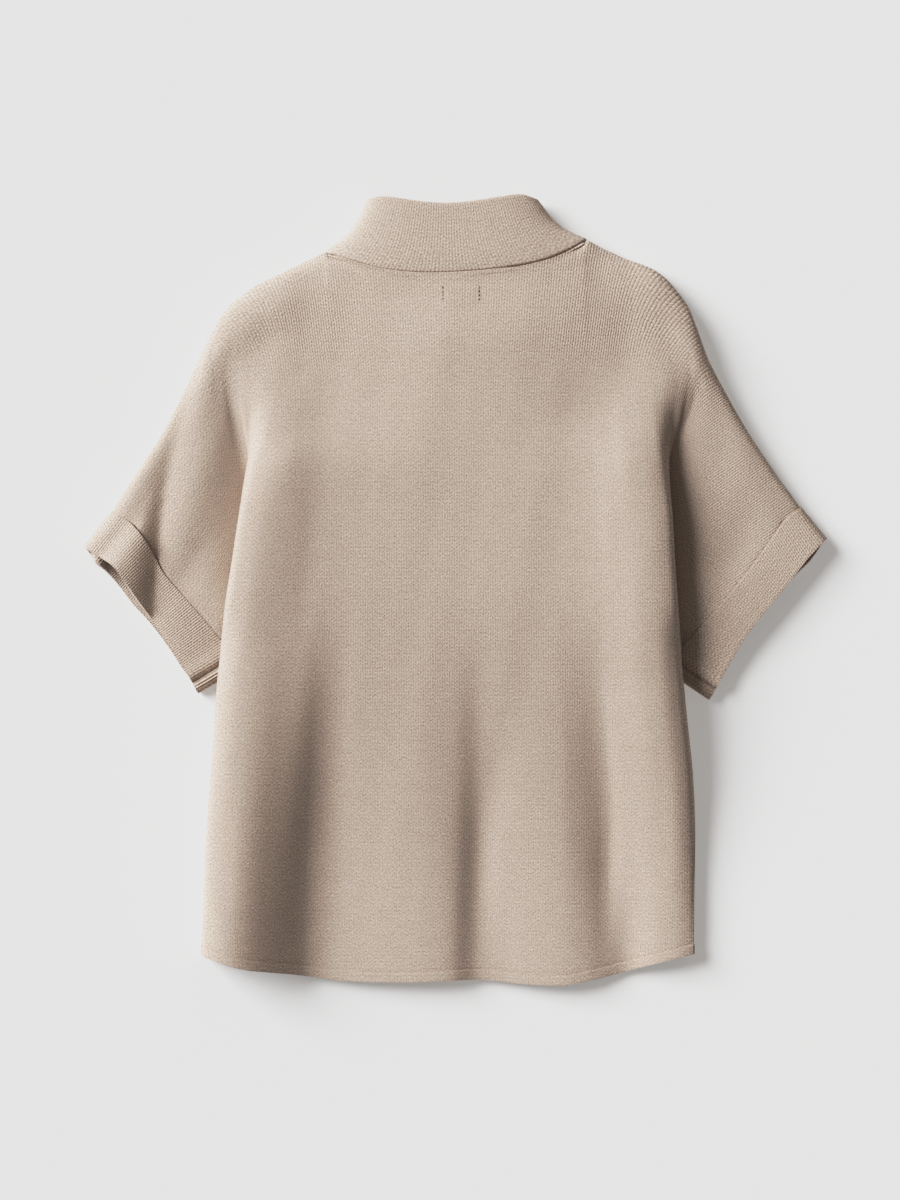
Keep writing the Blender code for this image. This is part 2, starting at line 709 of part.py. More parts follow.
def collar_ring(up):
    """Points round the collar, from one front edge over the back to the other."""
    gap = 2 * FRONT_GAP / (collar_right(0) - collar_left(0))
    middle = neck_across(FRONT_X)
    front = []
    for side in (-1, 1):
        half = []
        for step in range(COLLAR_FRONT_STEPS + 1):
            across = mix(middle + side * gap / 2, side * COLLAR_BEND, step / COLLAR_FRONT_STEPS)
            half.append((*front_neck(across, up), FLAT_DOUBLED))
        x, y = front_neck(side * COLLAR_TURN, up)
        half.append((x, y, (FLAT_DOUBLED + NECK_SIDE_Z) / 2))
        front.append(half)
    back = [collar_back_point(across, up) for across in COLLAR_STATIONS]
    return front[0] + back + front[1][::-1]


def make_collar():
    rows = [collar_ring(row.up) for row in COLLAR_ROWS]
    add_sheet("collar", grid_mesh("collar", rows), DOUBLED, RIB_BEIGE)


def cuff_ring(rows, across):
    """Points round a cuff, at a share of the way from the sleeve seam to the opening."""
    columns = {name: smooth_curve(rows, "along", name) for name in Cuff._fields[1:]}

    def plan(along, beyond=0.0):
        x = mix(columns["seam_x"](along), columns["open_x"](along), across)
        y = mix(columns["seam_y"](along), columns["open_y"](along), across)
        out_x = columns["open_x"](along) - columns["seam_x"](along)
        out_y = columns["open_y"](along) - columns["seam_y"](along)
        out = (beyond + (1 - across) * BUTT) / math.hypot(out_x, out_y)
        return x + out_x * out, y + out_y * out

    def height(along):
        return mix(columns["seam_z"](along), columns["open_z"](along), across)

    ring = []
    for row in range(ARMPIT_ROW):
        along = cuff_along(row)
        if row < len(RIM):
            z = rim_height(row, height(cuff_along(len(RIM) - 1)), columns["seam_x"](along))
            z = max(z, FLAT_DOUBLED)
        else:
            z = height(along)
        ring.append((*plan(along), z))
    end, before = plan(1.0), plan(0.9)
    ring.append((*end, height(1.0)))
    length = math.hypot(end[0] - before[0], end[1] - before[1])
    along_x, along_y = (end[0] - before[0]) / length, (end[1] - before[1]) / length
    for turn in CUFF_TURN:
        ring.append((end[0] + along_x * turn.beyond, end[1] + along_y * turn.beyond, turn.z))
    for step in range(CUFF_FRONT_STEPS):
        along = mix(1.0, CUFF_FRONT_END, step / (CUFF_FRONT_STEPS - 1))
        ring.append((*plan(along, columns["beyond"](along) * across), FLAT_DOUBLED))
    return ring


def make_cuffs():
    for (side, name), rows in zip(SIDE_NAMES, (LEFT_CUFF, RIGHT_CUFF)):
        rings = [cuff_ring(rows, section / CUFF_SECTIONS) for section in range(CUFF_SECTIONS + 1)]
        if side > 0:
            rings.reverse()
        add_sheet(f"cuff_{name}", grid_mesh(f"cuff_{name}", rings, closed=True), DOUBLED, RIB_BEIGE)


def clear_scene():
    for old in list(bpy.data.objects):
        bpy.data.objects.remove(old)


clear_scene()
garment = bpy.data.collections.new("cardigan")
bpy.context.scene.collection.children.link(garment)
back_rows = back_grid()
make_back(back_rows)
make_fronts(back_rows)
make_hem_bands(back_rows)
make_collar()
make_cuffs()
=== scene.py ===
import math

import bpy
import numpy as np
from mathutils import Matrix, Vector


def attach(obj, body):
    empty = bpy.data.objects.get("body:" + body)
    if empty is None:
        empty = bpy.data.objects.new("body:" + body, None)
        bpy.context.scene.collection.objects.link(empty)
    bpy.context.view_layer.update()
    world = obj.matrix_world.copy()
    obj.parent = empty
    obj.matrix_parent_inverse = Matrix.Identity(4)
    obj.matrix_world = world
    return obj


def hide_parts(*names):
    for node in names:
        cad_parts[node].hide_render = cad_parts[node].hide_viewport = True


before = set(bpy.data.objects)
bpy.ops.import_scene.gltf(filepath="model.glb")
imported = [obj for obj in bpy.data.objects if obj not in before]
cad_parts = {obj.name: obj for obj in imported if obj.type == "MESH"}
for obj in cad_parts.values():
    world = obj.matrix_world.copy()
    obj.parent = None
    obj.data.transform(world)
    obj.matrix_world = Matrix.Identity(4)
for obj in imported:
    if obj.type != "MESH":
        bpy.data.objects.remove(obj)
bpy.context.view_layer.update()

# Short-sleeved, high-necked cardigan in a fine melange knit, lying flat with its back up.
# Sizes are in millimetres and become metres when a mesh is made. X runs across, Y from the
# hem to the collar, Z up from the surface.
mm = 0.001
sides = {-1: "Left", 1: "Right"}

cloth = {
    "wall": 2.2,
    "doubled": 4.0,  # collar, cuffs and hem bands
    "lieZ": 1.2,  # middle of one layer on the surface
    "doubledZ": 2.2,
    "seam": 0.3,
    "edgeRound": 0.8,
    "doubledRound": 1.7,
    "edgeAngle": 55.0,  # degrees from which an edge is rounded
    "lift": 0.1,  # least gap under anything
}


# helpers for shapes

def smoothCurve(table, keyAt, valueAt):
    # smooth line through one column of a table against another, held past its ends
    rows = sorted(table, key=lambda row: row[keyAt])
    keys = np.array([row[keyAt] for row in rows], float)
    values = np.array([row[valueAt] for row in rows], float)
    slopes = np.gradient(values, keys)

    def at(x):
        x = np.clip(x, keys[0], keys[-1])
        i = np.clip(np.searchsorted(keys, x) - 1, 0, len(keys) - 2)
        width = keys[i + 1] - keys[i]
        t = (x - keys[i]) / width
        rise = t * t * (3 - 2 * t)
        bend = t * (1 - t) ** 2 * slopes[i] - t * t * (1 - t) * slopes[i + 1]
        return values[i] * (1 - rise) + values[i + 1] * rise + width * bend

    return at


def mix(a, b, share):
    return a + (b - a) * share


def ease(t):
    t = np.clip(t, 0.0, 1.0)
    return t * t * (3 - 2 * t)


def bell(distance, width):
    return np.exp(-((distance / width) ** 2))


def trough(distance, width, keen):
    # from a rounded valley to one that comes to an edge
    sharp = np.exp((2.5 - np.sqrt(distance ** 2 + 6.25)) / width)
    return mix(bell(distance, width), sharp, keen)


def refine(points, steps):
    # smooth points between the rows of a grid, steps[i] of them from row i to the next
    gaps = np.linalg.norm(np.diff(points, axis=0), axis=-1)
    keys = np.concatenate([[0], np.cumsum(gaps.reshape(len(gaps), -1).mean(axis=1))])
    slopes = np.gradient(points, keys, axis=0)
    made = []
    for i, count in enumerate(steps):
        t = (np.arange(count) / count).reshape(-1, *[1] * (points.ndim - 1))
        width = keys[i + 1] - keys[i]
        rise = t * t * (3 - 2 * t)
        bend = t * (1 - t) ** 2 * slopes[i] - t * t * (1 - t) * slopes[i + 1]
        made.append(points[i] * (1 - rise) + points[i + 1] * rise + width * bend)
    return np.concatenate([*made, points[-1:]])


def refineAcross(grid, steps):
    # the same between its columns
    return refine(grid.transpose(1, 0, 2), steps).transpose(1, 0, 2)


def stepsFor(points, length):
    # how many steps of about this length fit between each two rows of a grid
    gaps = np.linalg.norm(np.diff(points, axis=0), axis=-1)
    middle = np.median(gaps.reshape(len(gaps), -1), axis=1)
    return [max(1, round(gap / length)) for gap in middle]


def lengthAlong(line):
    # distance travelled along a row of points
    return np.append(0, np.cumsum(np.linalg.norm(np.diff(line, axis=0), axis=-1)))


def spread(*parts):
    # grids, rows and numbers as one grid of vectors
    return np.stack(np.broadcast_arrays(*parts), axis=-1)


def knownPoints(line):
    return line[~np.isnan(line[:, 0])]


def addObject(name, data):
    made = bpy.data.objects.new(name, data)
    bpy.context.scene.collection.objects.link(made)
    return made


def knittedMesh(name, points, faces, knit, look):
    mesh = bpy.data.meshes.new(name)
    mesh.from_pydata((points * mm).tolist(), [], faces)
    mesh.shade_smooth()
    field = mesh.attributes.new("knit", "FLOAT_VECTOR", "POINT")
    field.data.foreach_set("vector", knit.astype(np.float32).ravel())
    mesh.materials.append(look)
    return addObject(name, mesh)


def setInputs(node, values):
    for name, value in values.items():
        node.inputs[name].default_value = value


def standFor(piece, node):
    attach(piece, "root")
    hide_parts(node)
    return piece


def makeSheet(name, grid, knit, wall, roundness, look, closed=False):
    # a knitted wall over a grid of points; cells that miss a point are left open
    present = ~np.isnan(grid[..., 0])
    grid[..., 2] = np.maximum(grid[..., 2], wall / 2 + cloth["lift"])
    number = np.cumsum(present).reshape(present.shape) - 1
    right = np.roll(number, -1, axis=1)
    whole = present & np.roll(present, -1, axis=1)
    whole = whole[:-1] & whole[1:]
    if not closed:
        whole[:, -1] = False
    corners = spread(number[:-1], number[1:], right[1:], right[:-1])[whole]
    piece = knittedMesh(name, grid[present], corners.tolist(), knit[present], look)
    thick = piece.modifiers.new("wall", "SOLIDIFY")
    thick.thickness, thick.offset, thick.use_even_offset = wall * mm, 0, False
    soft = piece.modifiers.new("edge", "BEVEL")
    soft.width, soft.segments, soft.limit_method = roundness * mm, 3, "ANGLE"
    soft.angle_limit = math.radians(cloth["edgeAngle"])
    return piece


# knit: wales run up the body, fan out over the shoulders and cross the sleeves

knitLie = {
    "bendFrom": 150.0,  # below this height the body's wales are upright
    "fan": (205.0, 295.0),  # distance out and up over which they turn
    "fanSlope": 20.0,
    "sleeveTurn": 56.0,  # degrees from the body's wales to the sleeve's
    "neckTurn": 8.0,
    "pleatTop": (196.0, 182.0),  # where the last wale of the body leaves the pleat
    "clear": (150.0, 270.0),  # the stitches' bumps and painted shade grow more distinct between these heights
    "middleClear": (0.16, 0.36),
    "sideClear": 0.74,  # at the shoulders, this far out and this high up
    "sideFrom": (45.0, 175.0),
    "sleeveClear": 0.7,
}


def waleLean(out, y):
    slope = math.radians(knitLie["fanSlope"])
    near, far = knitLie["fan"]
    lean = knitLie["sleeveTurn"] * ease((out * math.cos(slope) + y * math.sin(slope) - near) / (far - near))
    lean = lean + knitLie["neckTurn"] * np.clip(out / 115, 0, 1) * (1 - lean / knitLie["sleeveTurn"])
    return np.radians(lean * ease((y - knitLie["bendFrom"]) / 60))


def traceDown(out, y):
    # follow each point's wale down to where it runs upright
    out, low, run = out.copy(), y.copy(), np.zeros_like(y)
    for _ in range(90):
        lean = waleLean(out, low)
        step = np.clip(low - knitLie["bendFrom"], 0, 2.5)
        out -= step * np.tan(lean)
        run += step / np.cos(lean)
        low -= step
    return out, low + run


def knitOver(grid, sleeveShare=0.0):
    # across the wales, along them, and how strong the stitches' bumps and painted shade are
    x, y = np.nan_to_num(grid[..., 0]), np.nan_to_num(grid[..., 1])
    side = np.where(x < 0, -1.0, 1.0)
    across, along = traceDown(side * x, y)
    turn = math.radians(knitLie["sleeveTurn"])
    topX, topY = knitLie["pleatTop"]
    out, up = side * x - topX, y - topY
    startX, startY = (float(value[0]) for value in traceDown(np.array([topX]), np.array([topY])))
    fromBorder = out * math.cos(turn) - up * math.sin(turn)
    sleeve = sleeveShare * ease(0.5 + fromBorder / 50)
    across = mix(across, startX + fromBorder, sleeve)
    along = mix(along, startY + out * math.sin(turn) + up * math.cos(turn), sleeve)
    low, high = knitLie["clear"]
    middle = mix(*knitLie["middleClear"], ease((y - low) / (high - low)))
    outFrom, upFrom = knitLie["sideFrom"]
    atSide = ease((np.abs(x) - outFrom) / 75) * ease((y - upFrom) / 60)
    clear = mix(middle, knitLie["sideClear"], atSide)
    clear = mix(clear, knitLie["sleeveClear"], sleeve * ease((230 - y) / 60))
    return spread(side * across, along, clear)


# back, with both half sleeves in one

back = {
    "leftEdge": [  # shoulder and outer sleeve: x, y
        (-113.5, 294.8), (-128.5, 288.4), (-154, 276), (-185, 259), (-202, 243),
        (-216.5, 217.5), (-236.5, 174.5), (-257.5, 134), (-280, 100), (-300, 68.6),
    ],
    "rightEdge": [
        (115.3, 305.4), (130, 298.5), (148, 290.4), (185, 272), (198, 256.5),
        (207.5, 240.5), (215.3, 217.5), (240.8, 165), (275.8, 108.5), (301.8, 72.2),
    ],
    "sides": [  # y, left edge, right edge, left tuck, right tuck, sleeve reach, left and right roll height
        (300, -185, 199, 0, 0, 36, 35, 35), (240, -184, 199.5, 0, 0, 36, 36, 36),
        (185, -182, 197, 3, 3, 36, 38, 38), (140, -181, 191.5, 9, 9, 36, 41, 41),
        (97, -184.8, 188.3, 15, 16, 36, 43, 43), (45, -190.5, 190, 22, 22, 34, 44, 44),
        (0, -198, 192.8, 30, 30, 18, 44, 44), (-51, -203.5, 196.5, 42, 42, -20, 43, 43),
        (-80, -206.8, 199, 42, 42, -20, 43, 42), (-117, -209.5, 202.8, 24, 24, -20, 43, 41),
        (-155, -212.3, 207, 12, 12, -20, 42.5, 37.5), (-200, -216, 209.4, 8, 8, -20, 42, 33.5),
        (-272, -219.3, 208.8, 8, 8, -20, 40.5, 29.5), (-340, -221.5, 208, 8, 8, -20, 38, 27.5),
    ],
    "sleeveRoll": {  # trough x, z; pleat share, x, z; side seam share, x, z; z over the shoulder
        -1: [
            (-36, 28, 0, 0, 20.5, 0, 0, 1.2, 23.6), (-27, 25.5, 0, 0, 13.8, 0, 0, 1.2, 24.2),
            (-19, 23, 1, -6, 7.2, 1, -7, 1.2, 24.7),
        ],
        1: [
            (-36, 22.5, 0, 0, 15.5, 0, 0, 1.2, 22), (-27, 22.5, 0, 0, 15, 0, 0, 1.2, 23.2),
            (-19, 22.5, 1, -6, 9.4, 1, -7, 1.2, 24.3),
        ],
    },
    "bodyRoll": [
        (-12, 23.8, 1, 0, 10, 1, 0, 1.2, 25.1), (-5, 26, 1, -6, 12.8, 0.75, -2.4, 2, 25.5),
        (2, 28.2, 0.25, 0.5, 15.5, 0.40, -2, 8, 25.9), (9, 30, 0, 0, 24.5, 0, 0, 16.5, 26.3),
        (16, 31.4, 0, 0.5, 33.4, 0, 0.5, 22.2, 26.7), (24, 32.4, 0, 2, 38.2, 0, 2, 25.8, 27.2),
        (34, 33, 0, 11, 40.6, 0, 11, 29.2, 27.9), (48, 33.2, 0, 30, 42, 0, 30, 33.2, 28.7),
    ],
    "drawnFor": (44.0, 35.0),  # roll heights that the pleat's and the seam's heights above suit
    "rollEnd": (31.0, 30.0),  # how far in the side rolls start to fall, and over what width
    "shoulderFall": 8.5,
    "pleat": (200.0, 60.0),  # it starts to form at the first y and is whole at the second
    "crest": [  # y, height of the middle
        (300, 26), (250, 32), (180, 35.5), (80, 37), (-50, 37), (-150, 33.5),
        (-250, 29), (-340, 25),
    ],
    "folds": [  # hem x, top x, top y, depth, left width, right width, how keen
        (-123, -96, 22, 18.5, 29, 135, 0.5), (26, 13, 5, 15.5, 23, 125, 0.85),
        (145, 108, 24, 15, 22, 80, 0.85),
    ],
    "rim": [  # inset, height, share of the rise, inset below the neck
        (9, 1.2, 0, 0), (3.5, 2.3, 0, 0.8), (0.5, 7, 0, 1.6), (0, 12, 0, 2.6),
        (2.5, 12, 0.45, 4.6), (8, 12, 0.78, 9), (18, 12, 1, 18),
    ],
    "columns": [  # where the middle columns start at the top, and their share below
        (-126, 0.085), (-113.5, 0.13), (-111.5, 0.175), (-107, 0.22), (-98, 0.27), (-80, 0.325),
        (-55, 0.385), (-25, 0.45), (2, 0.51), (30, 0.57), (57, 0.63), (82, 0.685), (99, 0.735),
        (108.5, 0.785), (113.3, 0.83), (115.3, 0.875), (129, 0.92),
    ],
    "armpitY": -51.0,
    "armpitZ": 3.9,
    "label": (5, 258, 17, 9.5, 0.45),  # middle, half sizes and height of what a label lifts
    "upperRows": 8,
    "lowerRows": 10,
    "sleeveSteps": 7,
    "outerFall": (0.45, 0.45, 0.45, 0.26, 0.1),  # how much lower the left sleeve's outer rows lie
    "cut": (0.66, 0.64, 0.35),  # metres across and along before it was sewn, and square metres
    "level": 17.0,  # reach of the fit that evens the sleeves
    "cell": 4.2,
}

hem = {
    "y": -335.0,
    "depth": 9.0,
    "edge": [  # x, y
        (-221, -319.4), (-206, -324.7), (-188, -330.6), (-152, -335.3), (-101, -342.6),
        (-29, -343.8), (22, -342), (58, -345.6), (98, -346.4), (137, -338.2), (177, -327.6),
        (209, -319),
    ],
    "cut": (0.49, 0.018, 0.0045),
    "frontCut": (0.22, 0.018, 0.0020),
    "shy": 3.0,  # how far the fronts' hem stays inside the back's
    "droop": 0.6,
    "round": 1.3,
}

collar = {
    "neck": [  # across, y of the seam, y of the top
        (-1.00, 294.8, 343), (-0.85, 289.6, 345), (-0.70, 284, 343.8), (-0.49, 279.2, 341.4),
        (-0.20, 277, 339.2), (0.05, 278, 339.2), (0.37, 281.6, 342.2), (0.68, 288.8, 345.6),
        (0.85, 296.4, 346.6), (1.00, 305.4, 342.5),
    ],
    "sides": [  # share up, left x, right x
        (0, -113.5, 115.3), (0.2, -99.5, 98.5), (0.4, -90, 88), (0.6, -84, 81),
        (0.8, -79.2, 75.8), (1, -75, 70),
    ],
    "sideZ": 12.5,
    "middleZ": 26.5,
    "topZ": 22.5,
    "arch": 3.4,
    "frontDrop": (52.0, 34.0),
    "frontRound": 0.8,
    "frontReach": (0.955, 0.993),  # shares across where its front half starts to rise, and joins the back
    "cell": 4.0,
    "deep": 62.0,
    "waleShare": 0.87,  # its wales stand a little wider than the body's
    "clear": 0.4,
    "sunk": 0.9,  # the seam pulls its edge down
    "knitClear": 0.45,
    "cut": (0.50, 0.062, 0.028),
}

cuffs = {
    # along, seam x, seam y, opening x, opening y, seam z, opening z, front layer beyond
    -1: [
        (0.00, -300, 68.6, -324.9, 37, 12, 12, 0), (0.12, -284, 59.5, -309.5, 27.5, 22.5, 21.5, 6.5),
        (0.25, -270.5, 43.5, -296, 17.5, 29, 29, 8), (0.40, -257, 18.5, -281.5, -4.5, 24.5, 25.5, 6.5),
        (0.55, -240, -2, -266.5, -25.5, 19.5, 19.5, 3.5), (0.75, -219, -26, -249.5, -48.5, 14.5, 15, 3),
        (0.90, -203.5, -45, -238, -68, 10.2, 11.2, 2), (1.00, -193.6, -57, -231.8, -79.6, 7.8, 9.2, 0),
    ],
    1: [
        (0.00, 301.8, 72.2, 324.9, 44, 11, 11, 0), (0.12, 288, 61.5, 309.5, 27.5, 14.5, 15.5, 3.2),
        (0.25, 275.5, 43.5, 297.5, 12, 15, 15, 0.3), (0.40, 258.5, 20.5, 283, -6, 15.8, 15, 0.5),
        (0.55, 241, -1.5, 267.5, -24.5, 16, 15, 0.5), (0.75, 216.5, -29.5, 250.5, -48, 14, 13.2, 0),
        (0.90, 200, -47.5, 237.5, -71.5, 9.6, 11, 0), (1.00, 188.5, -58, 229.7, -85.4, 7.6, 9.4, 0),
    ],
    # past the back layer's lower end: how far, height
    "turn": [(1.2, 5.6), (2.6, 7.4), (5.4, 8.8), (9, 8.2), (11, 5.2), (8.5, 2.2)],
    "edgeRows": [(3.2, 9.4), (5.6, 10.4), (8, 10.3), (10, 9.4)],  # courses that show there
    "edgeRadius": {-1: 0.65, 1: 0.95},
    "knitClear": 1.0,
    "cut": (0.36, 0.040, 0.0135),
    "seamLength": 170.0,
    "cell": 3.6,
    "deep": 38.0,
    "lip": {-1: 12.0, 1: 4.0},  # the front layer's edge turns up inside the mouth
}

armpitY, sleeveSteps = back["armpitY"], back["sleeveSteps"]
lieZ, doubledZ = cloth["lieZ"], cloth["doubledZ"]
rimCount = len(back["rim"])
armpitRow = rimCount - 1 + back["upperRows"]
lastRow = armpitRow + back["lowerRows"]
sleeveSideCount = len(back["sleeveRoll"][-1])
armCount = sleeveSteps + sleeveSideCount
rolls = {side: back["sleeveRoll"][side] + back["bodyRoll"] for side in sides}


def leftAndRight(table, leftAt):
    return {-1: smoothCurve(table, 0, leftAt), 1: smoothCurve(table, 0, leftAt + 1)}


edgeY = {-1: smoothCurve(back["leftEdge"], 0, 1), 1: smoothCurve(back["rightEdge"], 0, 1)}
sideX = leftAndRight(back["sides"], 1)
tuckAt = leftAndRight(back["sides"], 3)
sleeveReach = smoothCurve(back["sides"], 0, 5)
rollHeight = leftAndRight(back["sides"], 6)
crestHeight = smoothCurve(back["crest"], 0, 1)
hemEdge = smoothCurve(hem["edge"], 0, 1)
neckY = smoothCurve(collar["neck"], 0, 1)
collarTopY = smoothCurve(collar["neck"], 0, 2)
collarX = leftAndRight(collar["sides"], 1)
neckLeft, neckRight = (collarX[side](0) for side in sides)
cuffCurves = {side: [smoothCurve(cuffs[side], 0, at) for at in range(8)] for side in sides}


def foldDepth(x, y):
    depth = 0.0
    for hemX, topX, topY, deep, leftWidth, rightWidth, keen in back["folds"]:
        below = (topY - y) / (topY - hem["y"])
        share = ease(1.25 * below)
        centre = mix(topX, hemX, below)
        width = np.where(x < centre, leftWidth * mix(0.6, 1, share), rightWidth)
        depth = depth + deep * share * trough(x - centre, width, keen)
    return depth


def backHeight(x, y):
    inside = np.minimum(x - sideX[-1](y), sideX[1](y) - x)
    fallsFrom, fallsOver = back["rollEnd"]
    roll = ease((240 - y) / 90) * bell(np.maximum(inside - fallsFrom, 0), fallsOver)
    fall = back["shoulderFall"] * ease((np.abs(x - 18) - 5) / 150) * ease((y - 100) / 70)
    tall = np.where(x < 0, rollHeight[-1](y), rollHeight[1](y))
    return mix(crestHeight(y), tall, roll) - foldDepth(x, y) - fall


def neckAcross(x):
    middle = (neckLeft + neckRight) / 2
    return (x - middle) / (neckRight - middle)


def neckArch(across, top):
    return mix(collar["sideZ"], top, np.sqrt(np.maximum(1 - np.abs(across) ** collar["arch"], 0)))


def pleating(y):
    starts, wholeAt = back["pleat"]
    return ease((starts - y) / (starts - wholeAt))


def rollPoint(roll, y, side):
    troughX, troughZ, pleatShare, pleatX, pleatZ, seamShare, seamX, seamZ, shoulderZ = roll
    troughZ = mix(troughZ, shoulderZ, ease((y - 150) / 65))
    tuck = tuckAt[side](y)
    pleated = pleating(y)
    seamed = ease((armpitY + 26 - y) / 26)
    if pleatZ > 20:
        pleatFor, seamFor = back["drawnFor"]
        pleatZ, seamZ = pleatZ * rollHeight[side](y) / pleatFor, seamZ * rollHeight[side](y) / seamFor
    elif seamZ > lieZ:
        seamZ = seamZ + 5.5 * (tuck - 8) / 34
    inwards = mix(troughX, pleatShare * tuck + pleatX, pleated)
    inwards = mix(inwards, seamShare * tuck + seamX, seamed)
    height = mix(mix(troughZ, pleatZ, pleated), seamZ, seamed)
    height = height * mix(1.0, crestHeight(y) / 36.5, ease((y - 130) / 60))
    x = sideX[side](y) - side * inwards
    height = max(height - foldDepth(x, y) * ease((height - 10) / 15), lieZ)
    if troughX > 16:
        height = mix(height, backHeight(x, y), ease((troughX - 16) / 32))
    return np.array([x, y, height])


def sleeveSidePoint(index, y, side):
    x, _, height = rollPoint(rolls[side][index], y, side)
    inner = rollPoint(rolls[side][sleeveSideCount - 1], y, side)[0]
    if index < 2:
        outer = sideX[side](y) + side * sleeveReach(y)
        whole = outer if index == 0 else mix(inner, outer, 0.55)
        x = mix(x, whole, pleating(y))
    return np.array([x, y, height])


def rimHeight(row, top, x):
    _, low, rise, _ = back["rim"][row]
    if x > neckRight:
        low, rise = mix(lieZ, low, 0.76), rise ** 0.55
    toNeck = min(abs(x - neckLeft), abs(x - neckRight))
    low = lieZ + (low - lieZ) * mix(1.0, 0.95, bell(toNeck, 22.0))
    return mix(low, top, rise)


def upperY(row, topY, alongNeck=False):
    if row < rimCount:
        return topY - (cloth["seam"] + back["rim"][row][3] if alongNeck else back["rim"][row][0])
    below = (row - rimCount + 1) / back["upperRows"]
    return mix(topY - back["rim"][-1][0], armpitY, below)


def onNeck(x):
    return neckLeft < x < neckRight


def outlineY(x):
    return neckY(neckAcross(x)) if onNeck(x) else edgeY[-1 if x < 0 else 1](x)


def neckRise(inset, x):
    left = 1 - min(inset / back["rim"][-1][0], 1.0)
    away = min(x - neckLeft, neckRight - x)
    return mix(math.sqrt(1 - left * left), ease(inset / 42.0), ease(away / 62.0))


def middlePoint(topX, lowShare, row):
    below = max(row - armpitRow, 0) / back["lowerRows"]
    lowY = mix(armpitY, hem["y"], below)
    lowX = mix(*(rollPoint(rolls[side][-1], lowY, side)[0] for side in sides), lowShare)
    if row > armpitRow:
        y = mix(armpitY, hemEdge(lowX) + hem["depth"], below)
        return np.array([lowX, y, backHeight(lowX, y)])
    topY = outlineY(topX)
    y = upperY(row, topY, onNeck(topX))
    x = mix(topX, lowX, ease((topY - y) / (topY - armpitY)))
    height = backHeight(x, y)
    if onNeck(topX):
        start = neckArch(neckAcross(topX), collar["middleZ"])
        height = mix(start, height, neckRise(topY - cloth["seam"] - y, topX))
    elif row < rimCount:
        height = rimHeight(row, height, x)
    return np.array([x, y, height])


def sidePoint(index, row, side):
    startX = sideX[side](250) - side * rolls[side][index][0]
    if row <= armpitRow:
        y = upperY(row, outlineY(startX))
    else:
        below = (row - armpitRow) / back["lowerRows"]
        hemX = rollPoint(rolls[side][index], hem["y"], side)[0]
        y = mix(armpitY, hemEdge(hemX) + hem["depth"], below)
    if index < 2 and rimCount <= row < armpitRow:
        y -= (0.30, 0.12)[index] * (y - cuffSeamPoint(row, side)[1])
    if index < sleeveSideCount:
        x, y, height = sleeveSidePoint(index, y, side)
    else:
        x, y, height = rollPoint(rolls[side][index], y, side)
    if row == armpitRow and index <= sleeveSideCount:
        height = back["armpitZ"]
    if row < rimCount:
        return np.array([startX, y, rimHeight(row, height, startX)])
    return np.array([x, y, height])


def cuffAlong(row):
    start = back["rim"][-1][0] / cuffs["seamLength"]
    if row < rimCount:
        return back["rim"][row][0] / cuffs["seamLength"]
    return mix(start, 1.0, (row - rimCount + 1) / back["upperRows"])


def cuffSeamPoint(row, side):
    x, y, top = (cuffCurves[side][at](cuffAlong(row)) for at in (1, 2, 5))
    if row == armpitRow:
        top = back["armpitZ"]
    if row < rimCount:
        top = rimHeight(row, cuffCurves[side][5](cuffAlong(rimCount - 1)), x)
    return np.array([x, y, top])


def sleevePoint(step, row, side):
    share = step / sleeveSteps
    point = mix(sidePoint(0, row, side), cuffSeamPoint(row, side), share)
    straight = mix(sidePoint(0, 3, side), cuffSeamPoint(3, side), share)
    fade = 1.0 if row < rimCount else 1 - (row - rimCount + 1) / back["upperRows"]
    point[1] += (edgeY[side](straight[0]) - straight[1]) * fade
    return point


def sleeveLine(row, side, count):
    # points from the cuff inwards, of which those of the sleeve are missing below the armpit
    line = [sleevePoint(step, row, side) for step in range(sleeveSteps, 0, -1)]
    line += [sidePoint(index, row, side) for index in range(count)]
    if row > armpitRow:
        line[:armCount] = [np.full(3, np.nan)] * armCount
    return line


def backPoints():
    # rows from the shoulders to the hem
    rows = []
    for row in range(lastRow + 1):
        left, right = (sleeveLine(row, side, len(rolls[side])) for side in sides)
        middle = [middlePoint(*column, row) for column in back["columns"]]
        rows.append(left + middle + right[::-1])
    return np.array(rows)


creases = [
    # start, middle, end on the surface; depth, width left and right, share that fades in,
    # and out, how keen
    ((-228, 190), (-262, 92), (-267, -44), 9.5, 12.5, 20, 0.7, 0, 0.85),
    ((-206, 60), (-232, 20), (-250, -12), 1.4, 14, 14, 0.4, 0.3, 0),
    ((270, 88), (252, 46), (228, 8), 2, 18, 18, 0.5, 0.2, 0),
    ((214, 196), (236, 140), (246, 92), 1.2, 15, 15, 0.4, 0.5, 0),
    ((8, 262), (14, 120), (10, -60), 0.5, 34, 34, 0.3, 0.4, 0),
    ((-150, 250), (-158, 190), (-150, 120), 1, 20, 20, 0.4, 0.5, 0),
    ((150, 262), (158, 210), (148, 150), 1, 20, 20, 0.4, 0.5, 0),
    ((-100, 20), (-112, -110), (-128, -300), 1.6, 12, 15, 0.5, 0, 0),
    ((44, -60), (36, -190), (26, -330), 1.2, 10, 12, 0.5, 0, 0),
    ((124, -40), (130, -180), (144, -320), 1.2, 10, 12, 0.5, 0, 0),
    ((-196, -150), (-204, -220), (-200, -300), 0.8, 10, 10, 0.5, 0.3, 0),
]


